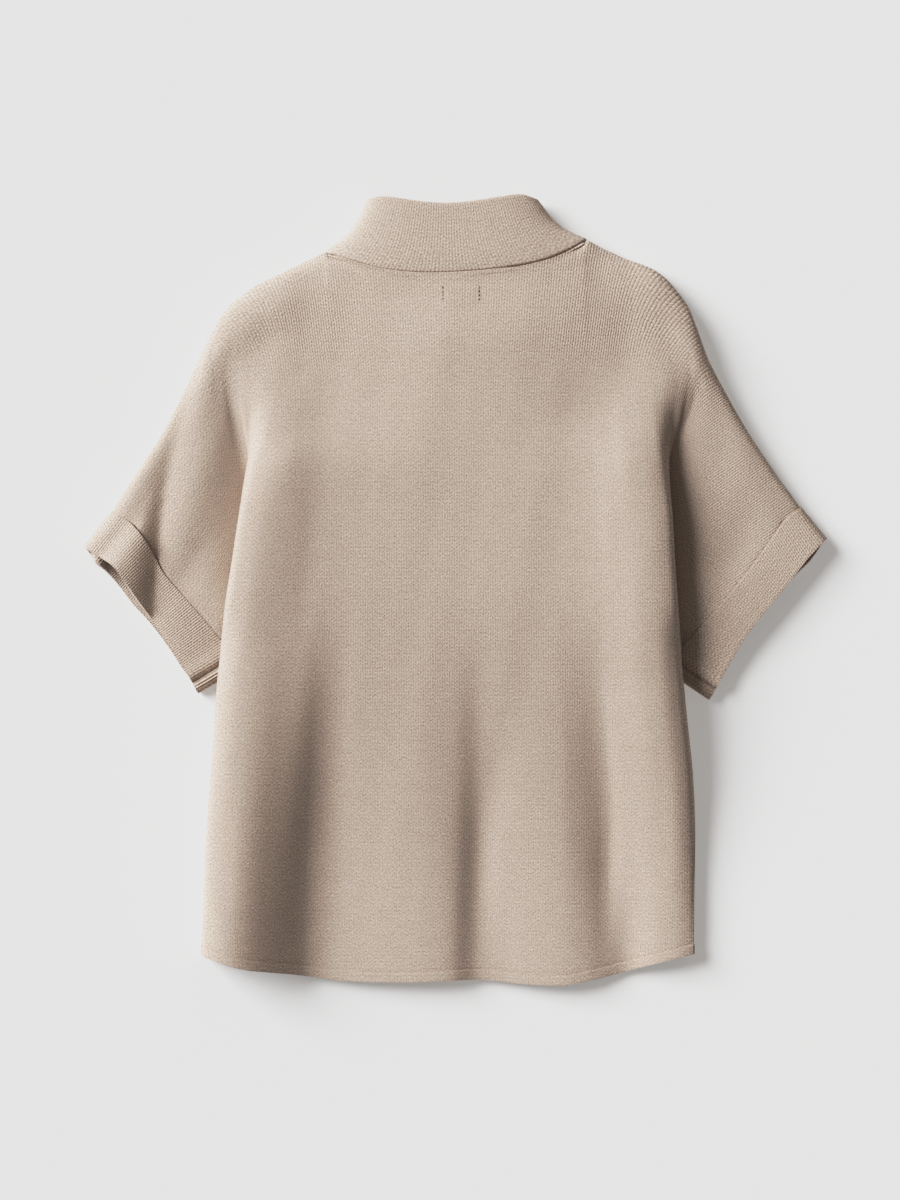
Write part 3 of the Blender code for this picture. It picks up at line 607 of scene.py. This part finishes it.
def creaseDepth(x, y):
    depth = np.zeros_like(x)
    for start, middle, end, deep, leftWidth, rightWidth, fadeIn, fadeOut, keen in creases:
        nearest, along, side = np.full_like(x, 1e9), np.zeros_like(x), np.zeros_like(x)
        for t in np.linspace(0, 1, 60):
            px, py = (mix(mix(a, b, t), mix(b, c, t), t) for a, b, c in zip(start, middle, end))
            distance = np.hypot(x - px, y - py)
            along = np.where(distance < nearest, t, along)
            side = np.where(distance < nearest, x - px, side)
            nearest = np.minimum(nearest, distance)
        fade = ease(along / fadeIn)
        if fadeOut:
            fade = fade * ease((1 - along) / fadeOut)
        depth += deep * fade * trough(nearest, np.where(side < 0, leftWidth, rightWidth), keen)
    return depth


# shallow waves that no laid cloth is without: height, reach in x and y, phase
unevenness = [(0.55, 61, 47, 0.3), (0.45, 37, 83, 1.9), (0.35, 29, 31, 4.1), (0.22, 17, 23, 2.6)]


def uneven(x, y):
    height = np.zeros_like(x)
    for tall, longX, longY, phase in unevenness:
        wave = np.sin(x / longX * 2.1 + y / longY + phase)
        height += tall * wave * np.cos(y / longY * 1.7 - x / longX + phase * 2)
    return height


def fineBack():
    coarse = backPoints()
    for i, share in enumerate(back["outerFall"]):
        row, edge = rimCount - 3 + i, coarse[rimCount - 4, :, 2]
        out = -coarse[row, :, 0]
        fall = share * ease((out - 200) / 60) * ease((300 - out) / 60)
        coarse[row, :, 2] = mix(coarse[row, :, 2], edge, fall)
    columns = coarse.shape[1]
    rowSteps = stepsFor(coarse[:, armCount:columns - armCount], back["cell"])
    rowSteps[:rimCount - 1] = [2] * (rimCount - 1)
    columnSteps = stepsFor(coarse[:armpitRow + 1].transpose(1, 0, 2), back["cell"])
    for i in range(armCount, armCount + 6):
        columnSteps[i], columnSteps[-1 - i] = 2 * columnSteps[i], 2 * columnSteps[-1 - i]
    upperFine = sum(rowSteps[:armpitRow])
    body = refine(coarse[:, armCount:columns - armCount], rowSteps)
    left = refine(coarse[:armpitRow + 1, :armCount], rowSteps[:armpitRow])
    right = refine(coarse[:armpitRow + 1, columns - armCount:], rowSteps[:armpitRow])
    upper = refineAcross(np.concatenate([left, body[:upperFine + 1], right], axis=1), columnSteps)
    lower = refineAcross(body[upperFine + 1:], columnSteps[armCount:columns - armCount - 1])
    grid = np.full((sum(rowSteps) + 1, upper.shape[1], 3), np.nan)
    grid[:upperFine + 1] = upper
    firstFine = sum(columnSteps[:armCount])
    grid[upperFine + 1:, firstFine:firstFine + lower.shape[1]] = lower
    return grid, columnSteps, rowSteps


def levelOut(points, area, places, reach):
    # heights at places of a locally straight fit through the points around each
    heights = []
    for start in range(0, len(places), 400):
        gap = points[None, :, :2] - places[start:start + 400, None, :2]
        weight = np.exp(-(gap ** 2).sum(axis=-1) / reach ** 2) * area
        terms = np.stack([np.ones_like(weight), gap[..., 0] / reach, gap[..., 1] / reach])
        weighted = terms * weight
        left = np.einsum("ikn,jkn->kij", weighted, terms) + 1e-6 * np.eye(3)
        heights.append(np.linalg.solve(left, (weighted @ points[:, 2]).T[..., None])[:, 0, 0])
    return np.concatenate(heights)


def softenSleeves(grid, columnSteps, rowSteps):
    # one easy slope from the cuff to the pleat, which the rows of the table alone leave in ridges
    last = sum(rowSteps[:armpitRow])
    inner = sum(columnSteps[:sleeveSteps + 2])
    rim = sum(rowSteps[:rimCount - 1])
    rows = np.arange(last + 1)[:, None]
    wide = inner + 40
    columns = np.arange(wide)[None, :]
    upper = grid[:last + 1]
    weight = ease((rows - rim) / 6) * ease((last - rows) / 3) * ease(columns / 4)
    weight = weight * ease((inner + 1 - columns) / 3)
    for part in (upper[:, :wide], upper[:, ::-1][:, :wide]):
        known = (rows >= rim) & ((columns <= inner) | (part[..., 1] > 205))
        across, down = np.gradient(part[..., :2], axis=1), np.gradient(part[..., :2], axis=0)
        area = np.abs(across[..., 0] * down[..., 1] - across[..., 1] * down[..., 0]) + 0.05
        moved = weight > 0
        level = levelOut(part[known], area[known], part[moved], back["level"])
        part[moved, 2] = mix(part[moved, 2], level, weight[moved])
    nearNeck = np.maximum(*(bell(upper[..., 0] - end, 20) for end in (neckLeft, neckRight)))
    weight = nearNeck * ease((rows - 2) / 6) * ease((upper[..., 1] - 190) / 40)
    for _ in range(40):
        padded = np.pad(upper[..., 2], 1, mode="edge")
        around = padded[:-2, 1:-1] + padded[2:, 1:-1] + padded[1:-1, :-2] + padded[1:-1, 2:]
        upper[..., 2] = mix(upper[..., 2], around / 4, weight)


def makeBack(look):
    grid, columnSteps, rowSteps = fineBack()
    softenSleeves(grid, columnSteps, rowSteps)
    # how much each column belongs to the sleeve, from the middle of the roll outwards
    starts = np.cumsum([0, *columnSteps])
    stations = np.interp(np.arange(starts[-1] + 1), starts, np.arange(len(starts)))
    fromEnd = np.minimum(stations, stations[-1] - stations)
    sleeveShare = ease((sleeveSteps + 6.0 - fromEnd) / 6.0)
    x, y = grid[..., 0], grid[..., 1]
    knit = knitOver(grid, sleeveShare)
    # only the cloth that lies open on top is creased
    silhouette = sum(rowSteps[:3])
    tall = ease((grid[..., 2] - 9) / 12)
    tall[:silhouette + 1] = 0
    labelX, labelY, halfWide, halfLong, lifted = back["label"]
    label = ease((halfWide - np.abs(x - labelX)) / 2.5) * ease((halfLong - np.abs(y - labelY)) / 2.5)
    height = uneven(x, y) * 0.5 - creaseDepth(x, y) + lifted * label
    grid[..., 2] += height * tall
    piece = makeSheet("backPanel", grid, knit, cloth["wall"], cloth["edgeRound"], look)
    return standFor(piece, "back_panel"), grid


# fronts, flat on the surface and meeting at the middle

front = {
    "cut": (0.31, 0.63, 0.145),
    "gap": 0.8,
    "neckGap": 1.0,
    "middleX": 2.0,
    "cell": 9.0,
    "clear": 0.9,  # from the back's edge, which turns under
    "shoulder": (124.0, 214.0),  # where its top edge follows the back's
    "shoulderGap": 0.5,
}


def frontNeck(across, up=0.0):
    share = (across + 1) / 2
    x = mix(collarX[-1](up), collarX[1](up), share)
    ends = [mix(neckY(end), collarTopY(end), up) for end in (-1, 1)]
    drop = mix(*collar["frontDrop"], up) * np.maximum(1 - across * across, 0) ** collar["frontRound"]
    return x, mix(*ends, share) - drop


def makeFront(side, backGrid, look):
    middle = front["middleX"] + side * front["gap"] / 2
    columns = [column for column in back["columns"][::-side] if side * column[0] > 10]
    rows = []
    for row in [0, *range(rimCount - 1, lastRow + 1)]:
        above = row <= armpitRow
        line = sleeveLine(row, side, sleeveSideCount + 1)
        for topX, lowShare in columns:
            point = middlePoint(topX, lowShare, row)
            if above and abs(topX) < abs(collarX[side](0)):
                topY = frontNeck(neckAcross(topX))[1] - front["neckGap"]
                backTop = outlineY(topX)
                share = (backTop - point[1]) / (backTop - armpitY)
                point[1] = mix(topY, armpitY, 0 if row == 0 else share)
            line.append(point)
        last = line[-1].copy()
        last[0] = middle
        if above:
            topY = frontNeck(neckAcross(middle))[1] - front["neckGap"]
            share = (row - rimCount + 2) / (back["upperRows"] + 1) if row else 0
            last[1] = mix(topY, armpitY, share)
        line.append(last)
        rows.append(line)
    coarse = np.array(rows)
    coarse[-1, :, 1] = hemEdge(coarse[-1, :, 0]) + hem["depth"] + hem["shy"]
    coarse[..., 2] = lieZ
    armpit = armpitRow - rimCount + 2
    coarse[:armpit + 1, 0, 0] -= side * front["clear"]
    coarse[armpit:, armCount, 0] -= side * front["clear"]
    rowSteps = stepsFor(coarse[:, armCount:], front["cell"])
    columnSteps = stepsFor(coarse[:armpit + 1].transpose(1, 0, 2), front["cell"])
    upper = refineAcross(refine(coarse[:armpit + 1], rowSteps[:armpit]), columnSteps)
    edge = knownPoints(backGrid[0])
    edge = edge[np.argsort(edge[:, 0])]
    topX, topY = upper[0, :, 0].copy(), upper[0, :, 1].copy()
    near, far = front["shoulder"]
    shoulder = ease((side * topX - near) / 8) * ease((far - side * topX) / 6)
    shift = (np.interp(topX, edge[:, 0], edge[:, 1]) - front["shoulderGap"] - topY) * shoulder
    upper[..., 1] += shift * np.linspace(1, 0, len(upper))[:, None]
    lower = refineAcross(refine(coarse[armpit:, armCount:], rowSteps[armpit:])[1:], columnSteps[armCount:])
    grid = np.full((len(upper) + len(lower), upper.shape[1], 3), np.nan)
    grid[:len(upper)] = upper
    grid[len(upper):, sum(columnSteps[:armCount]):] = lower
    if side > 0:
        grid = grid[:, ::-1]
    x, y = grid[..., 0], grid[..., 1]
    sleeveShare = ease((side * x - 150) / 60) * ease((y + 80) / 60)
    knit = knitOver(grid, sleeveShare)
    piece = makeSheet(f"front{sides[side]}", grid, knit, cloth["wall"], cloth["edgeRound"], look)
    return standFor(piece, f"front_{sides[side].lower()}_panel")


# hem bands

def makeHemBands(grid, look):
    last, before = knownPoints(grid[-1]), knownPoints(grid[-4])
    rows = []
    for depth in np.linspace(0.15, 8.9, 5):
        step = (cloth["seam"] + depth) / (before[:, 1] - last[:, 1])
        line = last + (last - before) * step[:, None]
        line[:, 1] = last[:, 1] - cloth["seam"] - depth
        line[:, 2] = last[:, 2] + (last[:, 2] - before[:, 2]) * step * hem["droop"]
        line[:, 2] = np.maximum(line[:, 2], doubledZ)
        rows.append(line)
    band = np.array(rows)
    knit = knitOver(band)
    piece = makeSheet("hemBandBack", band, knit, cloth["doubled"], hem["round"], look)
    made = [standFor(piece, "hem_band_back")]
    for side, name in sides.items():
        corner = band[0, 0 if side < 0 else -1, 0] - side * front["clear"]
        middle = front["middleX"] + side * front["gap"] / 2
        x = np.linspace(corner, middle, 40)
        if side > 0:
            x = x[::-1]
        bottom = hemEdge(x) + hem["shy"]
        top = bottom + hem["depth"] - cloth["seam"]
        down = np.linspace(0, 1, 4)[:, None]
        frontBand = spread(x, mix(top, bottom, down), doubledZ)
        knit = knitOver(frontBand)
        piece = makeSheet(f"hemBandFront{name}", frontBand, knit, cloth["doubled"], hem["round"], look)
        made.append(standFor(piece, f"hem_band_front_{name.lower()}"))
    return made


# collar, doubled, folded at the top and open at the centre front

def makeCollar(look):
    stations = [-1.0, -0.985, -0.95, -0.88, -0.77, -0.62, -0.44, -0.22, 0.0]
    stations += [-across for across in stations[-2::-1]]
    rings = []
    for up, _, _ in collar["sides"]:
        gap = 2 * front["gap"] / (neckRight - neckLeft)
        middle = neckAcross(front["middleX"])
        halves = {}
        for side in sides:
            halves[side] = []
            for share in np.linspace(0, 1, 8):
                across = mix(middle + side * gap / 2, side * collar["frontReach"][0], share)
                halves[side].append((*frontNeck(across, up), doubledZ))
            x, y = frontNeck(side * collar["frontReach"][1], up)
            halves[side].append((x, y, (doubledZ + collar["sideZ"]) / 2))
        ring = list(halves[-1])
        for across in stations:
            share = (across + 1) / 2
            baseY = neckY(across) + cloth["seam"] + collar["clear"] * abs(across) ** 3
            height = mix(neckArch(across, collar["middleZ"]), neckArch(across, collar["topZ"]), up)
            x = mix(collarX[-1](up), collarX[1](up), share)
            ring.append((x, mix(baseY, collarTopY(across), up), height))
        ring = ring + halves[1][::-1]
        sunk = collar["sunk"] * bell(up, 0.12)
        rings.append([(x, y, z - sunk * ease((z - 6) / 6)) for x, y, z in ring])
    coarse = np.array(rings, float)
    columnSteps = stepsFor(coarse.transpose(1, 0, 2), collar["cell"])
    grid = refineAcross(refine(coarse, [3] * (len(coarse) - 1)), columnSteps)
    around = lengthAlong(grid[len(grid) // 2])
    up = np.linspace(0, collar["deep"], len(grid))[:, None]
    knit = spread((around - around[len(around) // 2]) * collar["waleShare"], up, collar["knitClear"])
    piece = makeSheet("collarStand", grid, knit, cloth["doubled"], cloth["doubledRound"], look)
    return standFor(piece, "collar")


# cuffs, doubled tubes that gape a little

def makeCuff(side, look):
    curves = cuffCurves[side]
    rings = []
    for across in np.linspace(0, 1, 5):

        def plan(along, beyond=0.0):
            seam, opening = (np.array([curves[at](along), curves[at + 1](along)]) for at in (1, 3))
            out = (opening - seam) / np.linalg.norm(opening - seam)
            return mix(seam, opening, across) + out * (beyond + (1 - across) * 0.6)

        def height(along):
            return mix(curves[5](along), curves[6](along), across)

        ring = []
        for row in range(armpitRow):
            along = cuffAlong(row)
            z = height(along)
            if row < rimCount:
                z = max(rimHeight(row, height(cuffAlong(rimCount - 1)), curves[1](along)), doubledZ)
            under = curves[7](along) * across if row < 2 else 0.0
            ring.append((*plan(along, under), z))
        end, before = plan(1.0), plan(0.9)
        ring.append((*end, height(1.0)))
        onward = (end - before) / np.linalg.norm(end - before)
        for beyond, z in cuffs["turn"]:
            ring.append((*(end + onward * beyond), z))
        for along in np.linspace(1.0, 0.09, 9):
            lip = cuffs["lip"][side] * bell(along - 0.115, 0.09) * across ** 3
            ring.append((*plan(along, curves[7](along) * across), doubledZ + lip))
        rings.append(ring)
    coarse = np.array(rings, float)
    grid = refine(coarse, [4] * (len(coarse) - 1))
    grid, coarse = (np.concatenate([part, part[:, :1]], axis=1) for part in (grid, coarse))
    grid = refineAcross(grid, stepsFor(coarse.transpose(1, 0, 2), cuffs["cell"]))
    around = lengthAlong(grid[len(grid) // 2])
    out = np.linspace(0, cuffs["deep"], len(grid))[:, None]
    knit = spread(around, out, cuffs["knitClear"])
    tall = ease((grid[..., 2] - 7) / 8)
    grid[..., 2] -= creaseDepth(grid[..., 0], grid[..., 1]) * tall
    grid, knit = grid[:, :-1], knit[:, :-1]
    if side > 0:
        grid, knit = grid[::-1], knit[::-1]
    name = f"cuff{sides[side]}"
    piece = makeSheet(name, grid, knit, cloth["doubled"], cloth["doubledRound"], look, closed=True)
    return standFor(piece, f"cuff_{sides[side].lower()}")


# seams: the yarn that links the pieces, and what is left of a label's stitching

seams = {
    "radius": 0.9,
    "lift": 0.15,  # how far the yarn lies above the middle of the cloth
    "neckLift": -0.3,
    "neckEndDrop": 3.5,  # towards the right, where it would stand clear of the back
    "neckReach": 0.97,
    "taper": 0.6,
    "stitchRows": (-11.0, 20.7),
    "stitchTop": 265.5,
    "stitchLong": 2.6,
    "stitchGap": 0.7,
    "stitchCount": 4,
    "stitchRadius": 0.36,
    "stitchArc": [(0, 0.1), (0.33, 0.32), (0.67, 0.32), (1, 0.1)],  # share down it, height
}


def makeYarn(name, points, radius, look):
    # a round yarn along points, tapered at both ends
    points = np.array(points, float)
    points[:, 2] = np.maximum(points[:, 2], radius + cloth["lift"])
    along = lengthAlong(points)
    ahead = np.gradient(points, axis=0)
    ahead /= np.linalg.norm(ahead, axis=1)[:, None]
    beside = np.cross(ahead, (0, 0, 1))
    beside /= np.linalg.norm(beside, axis=1)[:, None]
    above = np.cross(beside, ahead)
    turns = np.linspace(0, 2 * math.pi, 9)[:-1]
    fromEnd = np.minimum(along, along[-1] - along)[:, None, None]
    taper = np.minimum(1, 0.35 + fromEnd / seams["taper"]) * radius
    ring = np.cos(turns)[None, :, None] * beside[:, None] + np.sin(turns)[None, :, None] * above[:, None]
    shell = points[:, None] + ring * taper
    number = np.arange(shell.shape[0] * shell.shape[1]).reshape(shell.shape[:2])
    beyond = np.roll(number, -1, axis=1)
    quads = spread(number[:-1], beyond[:-1], beyond[1:], number[1:]).reshape(-1, 4)
    faces = [*quads.tolist(), number[0, ::-1].tolist(), number[-1].tolist()]
    knit = spread(turns * 1.4, along[:, None], 0.5)
    piece = knittedMesh(name, shell.reshape(-1, 3), faces, knit, look)
    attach(piece, "root")
    return piece


def surfaceUnder(grid, x, y):
    gaps = np.hypot(grid[..., 0] - x, grid[..., 1] - y)
    return grid[..., 2][np.unravel_index(np.nanargmin(gaps), gaps.shape)] + cloth["wall"] / 2


def makeSeams(grid, look, dark):
    top = knownPoints(grid[0])
    top = top[np.abs(neckAcross(top[:, 0])) < seams["neckReach"]]
    height = seams["neckLift"] - seams["neckEndDrop"] * ease((neckAcross(top[:, 0]) - 0.25) / 0.5)
    made = [makeYarn("neckSeam", top + spread(0, 0.3, height), seams["radius"], look)]
    edge = knownPoints(grid[-1])[2:-2] + (0, -0.2, seams["lift"])
    made.append(makeYarn("hemSeam", edge, seams["radius"], look))
    for side, name in sides.items():
        column = knownPoints(grid[:, 0 if side < 0 else -1])[3:-1] + (side * 0.2, -0.2, seams["lift"])
        made.append(makeYarn(f"cuffSeam{name}", column, seams["radius"], look))
        curves = cuffCurves[side][1:5]
        last, before = (np.array([curve(along) for curve in curves]) for along in (1.0, 0.9))
        for i, (beyond, z) in enumerate(cuffs["edgeRows"]):
            points = []
            for share in np.linspace(0.03, 0.985, 24):
                end, inner = (mix(places[:2], places[2:], share) for places in (last, before))
                points.append((*(end + (end - inner) / np.linalg.norm(end - inner) * beyond), z))
            made.append(makeYarn(f"cuffEdge{name}{i}", points, cuffs["edgeRadius"][side], look))
    for row, x in enumerate(seams["stitchRows"]):
        for i in range(seams["stitchCount"]):
            top = seams["stitchTop"] - i * (seams["stitchLong"] + seams["stitchGap"])
            across = x + 0.25 * math.sin(7 * i + row)
            points = []
            for down, rise in seams["stitchArc"]:
                y = top - down * seams["stitchLong"]
                points.append((across, y, surfaceUnder(grid, across, y) + rise))
            made.append(makeYarn(f"labelStitch{row}{i}", points, seams["stitchRadius"], dark))
    return made


# materials

class Wire:
    # a socket that Python's operators work on, each adding its Math node

    def __init__(self, tree, socket):
        self.tree, self.socket = tree, socket

    def node(self, kind, settings={}, inputs={}, output=0):
        made = self.tree.nodes.new(kind)
        for key, value in settings.items():
            setattr(made, key, value)
        for key, value in inputs.items():
            target = made.inputs[key]
            if isinstance(value, Wire):
                self.tree.links.new(value.socket, target)
            else:
                target.default_value = value
        return Wire(self.tree, made.outputs[output])

    def maths(self, operation, *others):
        values = dict(enumerate([self, *others]))
        return self.node("ShaderNodeMath", {"operation": operation}, values)

    def __add__(self, other):
        return self.maths("ADD", other)

    def __mul__(self, other):
        return self.maths("MULTIPLY", other)

    def __sub__(self, other):
        return self.maths("SUBTRACT", other)

    def __rsub__(self, other):
        return self.node("ShaderNodeMath", {"operation": "SUBTRACT"}, {0: other, 1: self})

    def __truediv__(self, other):
        return self.maths("DIVIDE", other)

    __radd__, __rmul__ = __add__, __mul__


knitLook = {
    "leg": 2.1,  # millimetres across one leg of a stitch, two to a wale
    "course": 3.0,
    "slant": 0.62,  # how far a leg leans, in courses
    "light": (0.735, 0.620, 0.540, 1),
    "dark": (0.395, 0.320, 0.268, 1),
    "level": 0.938,
    # painted shade: how dark the hollows between stitch legs and the gaps between courses are painted
    "groove": 0.27,
    "hatchShade": 0.24,
    "mottle": 0.14,
    "swayScale": 0.13,
    "mottleScale": 0.09,
    "fuzzScale": 1.6,
    "bump": 0.47,
    "bumpHeight": 0.0008,
    "sheen": 0.10,
    "roughness": 0.93,
}


def knitMaterial(name, tint=1.0):
    made = bpy.data.materials.new(name)
    made.use_nodes = True
    tree = made.node_tree
    shader = tree.nodes["Principled BSDF"]
    start = Wire(tree, None)
    field = start.node("ShaderNodeAttribute", {"attribute_name": "knit"}, output="Vector")
    across, along, clear = (
        field.node("ShaderNodeSeparateXYZ", inputs={0: field}, output=i) for i in range(3)
    )

    def noise(place, scale, detail=3.0, roughness=0.5):
        inputs = {"Vector": place, "Scale": scale, "Detail": detail, "Roughness": roughness}
        return start.node("ShaderNodeTexNoise", inputs=inputs)

    # uneven knitting, so that no wale looks ruled
    flat = start.node("ShaderNodeCombineXYZ", inputs={0: across, 1: along})
    sway = noise(flat, knitLook["swayScale"], 1.0)
    across = across + (sway - 0.5) * 1.0
    along = along + (sway - 0.5) * 2.0
    u, v = across / knitLook["leg"], along / knitLook["course"]
    edge = (u.maths("FRACT") - 0.5).maths("ABSOLUTE") * 2  # 0 on a leg's back, 1 between two
    lean = ((u * 0.5).maths("FRACT") * 2 - 1).maths("ABSOLUTE")  # the legs of a wale lean towards each other
    loop = ((v + lean * knitLook["slant"]) * (2 * math.pi)).maths("COSINE") * 0.5 + 0.5
    back = 1 - edge * edge
    # painted shade in the hollows where the legs of neighbouring stitches meet
    pit = edge.maths("POWER", 2.5) * (1 - loop * 0.6)
    # melange: yarn that is lighter and darker from stitch to stitch, and a softer mottle
    yarn = start.node("ShaderNodeCombineXYZ", inputs={0: across * 0.75, 1: along * 0.55})
    fleck = noise(yarn, 1.0, roughness=0.65)
    mottle = noise(flat, knitLook["mottleScale"])
    fuzz = noise(flat, knitLook["fuzzScale"], roughness=0.7)
    tone = fleck.node("ShaderNodeMapRange", inputs={"Value": fleck, "From Min": 0.3, "From Max": 0.7})
    melange = tone.node(
        "ShaderNodeMix", {"data_type": "RGBA"}, {0: tone, 6: knitLook["dark"], 7: knitLook["light"]}, 2
    )
    # painted shade between the courses of loops; with the hollows' painted shade it averages to no change
    hatchShade = (0.5 - loop) * (clear * 0.3 + 0.55)
    shade = (1 - (pit - 0.2) * clear * knitLook["groove"] - hatchShade * knitLook["hatchShade"]) * (
        (mottle - 0.5) * knitLook["mottle"] + tint * knitLook["level"]
    )
    colour = melange.node("ShaderNodeVectorMath", {"operation": "SCALE"}, {0: melange, "Scale": shade})
    height = (back * clear * 0.8 + loop * back * 0.5) * (clear * 0.5 + 0.5) + fuzz * 0.45 + fleck * 0.25
    raised = {"Strength": knitLook["bump"], "Distance": knitLook["bumpHeight"], "Height": height}
    bump = height.node("ShaderNodeBump", inputs=raised)
    tree.links.new(colour.socket, shader.inputs["Base Color"])
    tree.links.new(bump.socket, shader.inputs["Normal"])
    setInputs(shader, {
        "Roughness": knitLook["roughness"],
        "Specular IOR Level": 0.2,
        "Sheen Weight": knitLook["sheen"],
        "Sheen Roughness": 0.5,
    })
    return made


# stage

stage = {
    "photoSize": (900, 1200),
    "pixel": 0.88,  # millimetres of the surface to a pixel of the photograph
    "zeroPixel": (455, 590),
    "cameraHigh": 4000.0,
    "floorReach": 6.0,
    "floorTone": 0.66,
    "floorGlow": 0.25,  # lifts the shadows on the surface, as a bright table does
    "sunFrom": (-0.86, 0.50),  # plan direction the light comes from
    "sunElevation": 29.5,
    "sunAngle": 34.0,
    "sunPower": 5.05,
    "skyPower": 0.2,
    "sunColour": (0.985, 1.0, 1.015),
    "skyColour": (1.08, 1.0, 0.92),
    "brightest": 0.80,
    # a print's tones: shades go deeper and warmer, and lights are held back
    "tones": [
        (0.053, 0.030), (0.092, 0.058), (0.124, 0.081), (0.189, 0.136), (0.22, 0.167), (0.303, 0.262),
        (0.43, 0.421), (0.535, 0.523), (0.632, 0.613), (0.69, 0.66), (0.811, 0.729), (0.917, 0.783),
    ],
}


def makeStage():
    width, high = stage["photoSize"]
    middleX = (width / 2 - stage["zeroPixel"][0]) * stage["pixel"]
    middleY = (stage["zeroPixel"][1] - high / 2) * stage["pixel"]
    lens = bpy.data.cameras.new("camera")
    lens.sensor_width = 36.0  # along the picture's long side
    lens.lens = lens.sensor_width * stage["cameraHigh"] / (high * stage["pixel"])
    lens.clip_start, lens.clip_end = 0.1, 50.0
    camera = addObject("camera", lens)
    camera.location = (middleX * mm, middleY * mm, stage["cameraHigh"] * mm)
    bpy.context.scene.camera = camera
    mesh = bpy.data.meshes.new("floor")
    reach = stage["floorReach"]
    corners = [(x * reach, y * reach, 0) for x, y in ((-1, -1), (1, -1), (1, 1), (-1, 1))]
    mesh.from_pydata(corners, [], [(0, 1, 2, 3)])
    floor = addObject("floor", mesh)
    paint = bpy.data.materials.new("paleSurface")
    paint.use_nodes = True
    setInputs(paint.node_tree.nodes["Principled BSDF"], {
        "Base Color": (*[stage["floorTone"]] * 3, 1),
        "Roughness": 0.9,
        "Specular IOR Level": 0.0,
        "Emission Color": (1, 1, 1, 1),
        "Emission Strength": stage["floorGlow"],
    })
    mesh.materials.append(paint)
    elevation = math.radians(stage["sunElevation"])
    planX, planY = stage["sunFrom"]
    length = math.hypot(planX, planY)
    flat = math.cos(elevation) / length
    toSun = Vector((planX * flat, planY * flat, math.sin(elevation)))
    lamp = bpy.data.lights.new("softKey", "SUN")
    lamp.energy, lamp.angle = stage["sunPower"], math.radians(stage["sunAngle"])
    lamp.color = stage["sunColour"]
    key = addObject("softKey", lamp)
    key.rotation_euler = toSun.to_track_quat("Z", "Y").to_euler()
    world = bpy.data.worlds.new("studio")
    world.use_nodes = True
    sky = world.node_tree.nodes["Background"]
    setInputs(sky, {"Color": (*stage["skyColour"], 1), "Strength": stage["skyPower"]})
    bpy.context.scene.world = world
    look = bpy.context.scene.view_settings
    look.view_transform = "Standard"
    look.use_curve_mapping = True
    look.curve_mapping.extend = "HORIZONTAL"
    tones = look.curve_mapping.curves[3].points
    tones[-1].location = (1.0, stage["brightest"])
    for place in stage["tones"]:
        tones.new(*place)
    look.curve_mapping.update()
    return floor


def declareSheet(piece, cut):
    print(piece.name, "cut", cut)


floor = makeStage()
print("stage ready")
knitBeige = knitMaterial("knitBeige")
ribBeige = knitMaterial("ribBeige", 1.02)
bandBeige = knitMaterial("bandBeige", 0.99)
print("materials ready")
backPanel, backGrid = makeBack(knitBeige)
print("back made", backGrid.shape)
fronts = [makeFront(side, backGrid, knitBeige) for side in sides]
hemBands = makeHemBands(backGrid, bandBeige)
collarStand = makeCollar(ribBeige)
cuffPieces = [makeCuff(side, ribBeige) for side in sides]
print("fronts, bands, collar and cuffs made")
darkYarn = knitMaterial("darkYarn", 0.5)
seamPieces = makeSeams(backGrid, ribBeige, darkYarn)
print("seams made")

declareSheet(backPanel, back["cut"])
for piece in fronts:
    declareSheet(piece, front["cut"])
declareSheet(hemBands[0], hem["cut"])
for piece in hemBands[1:]:
    declareSheet(piece, hem["frontCut"])
declareSheet(collarStand, collar["cut"])
for piece in cuffPieces:
    declareSheet(piece, cuffs["cut"])
print("sheets stated")
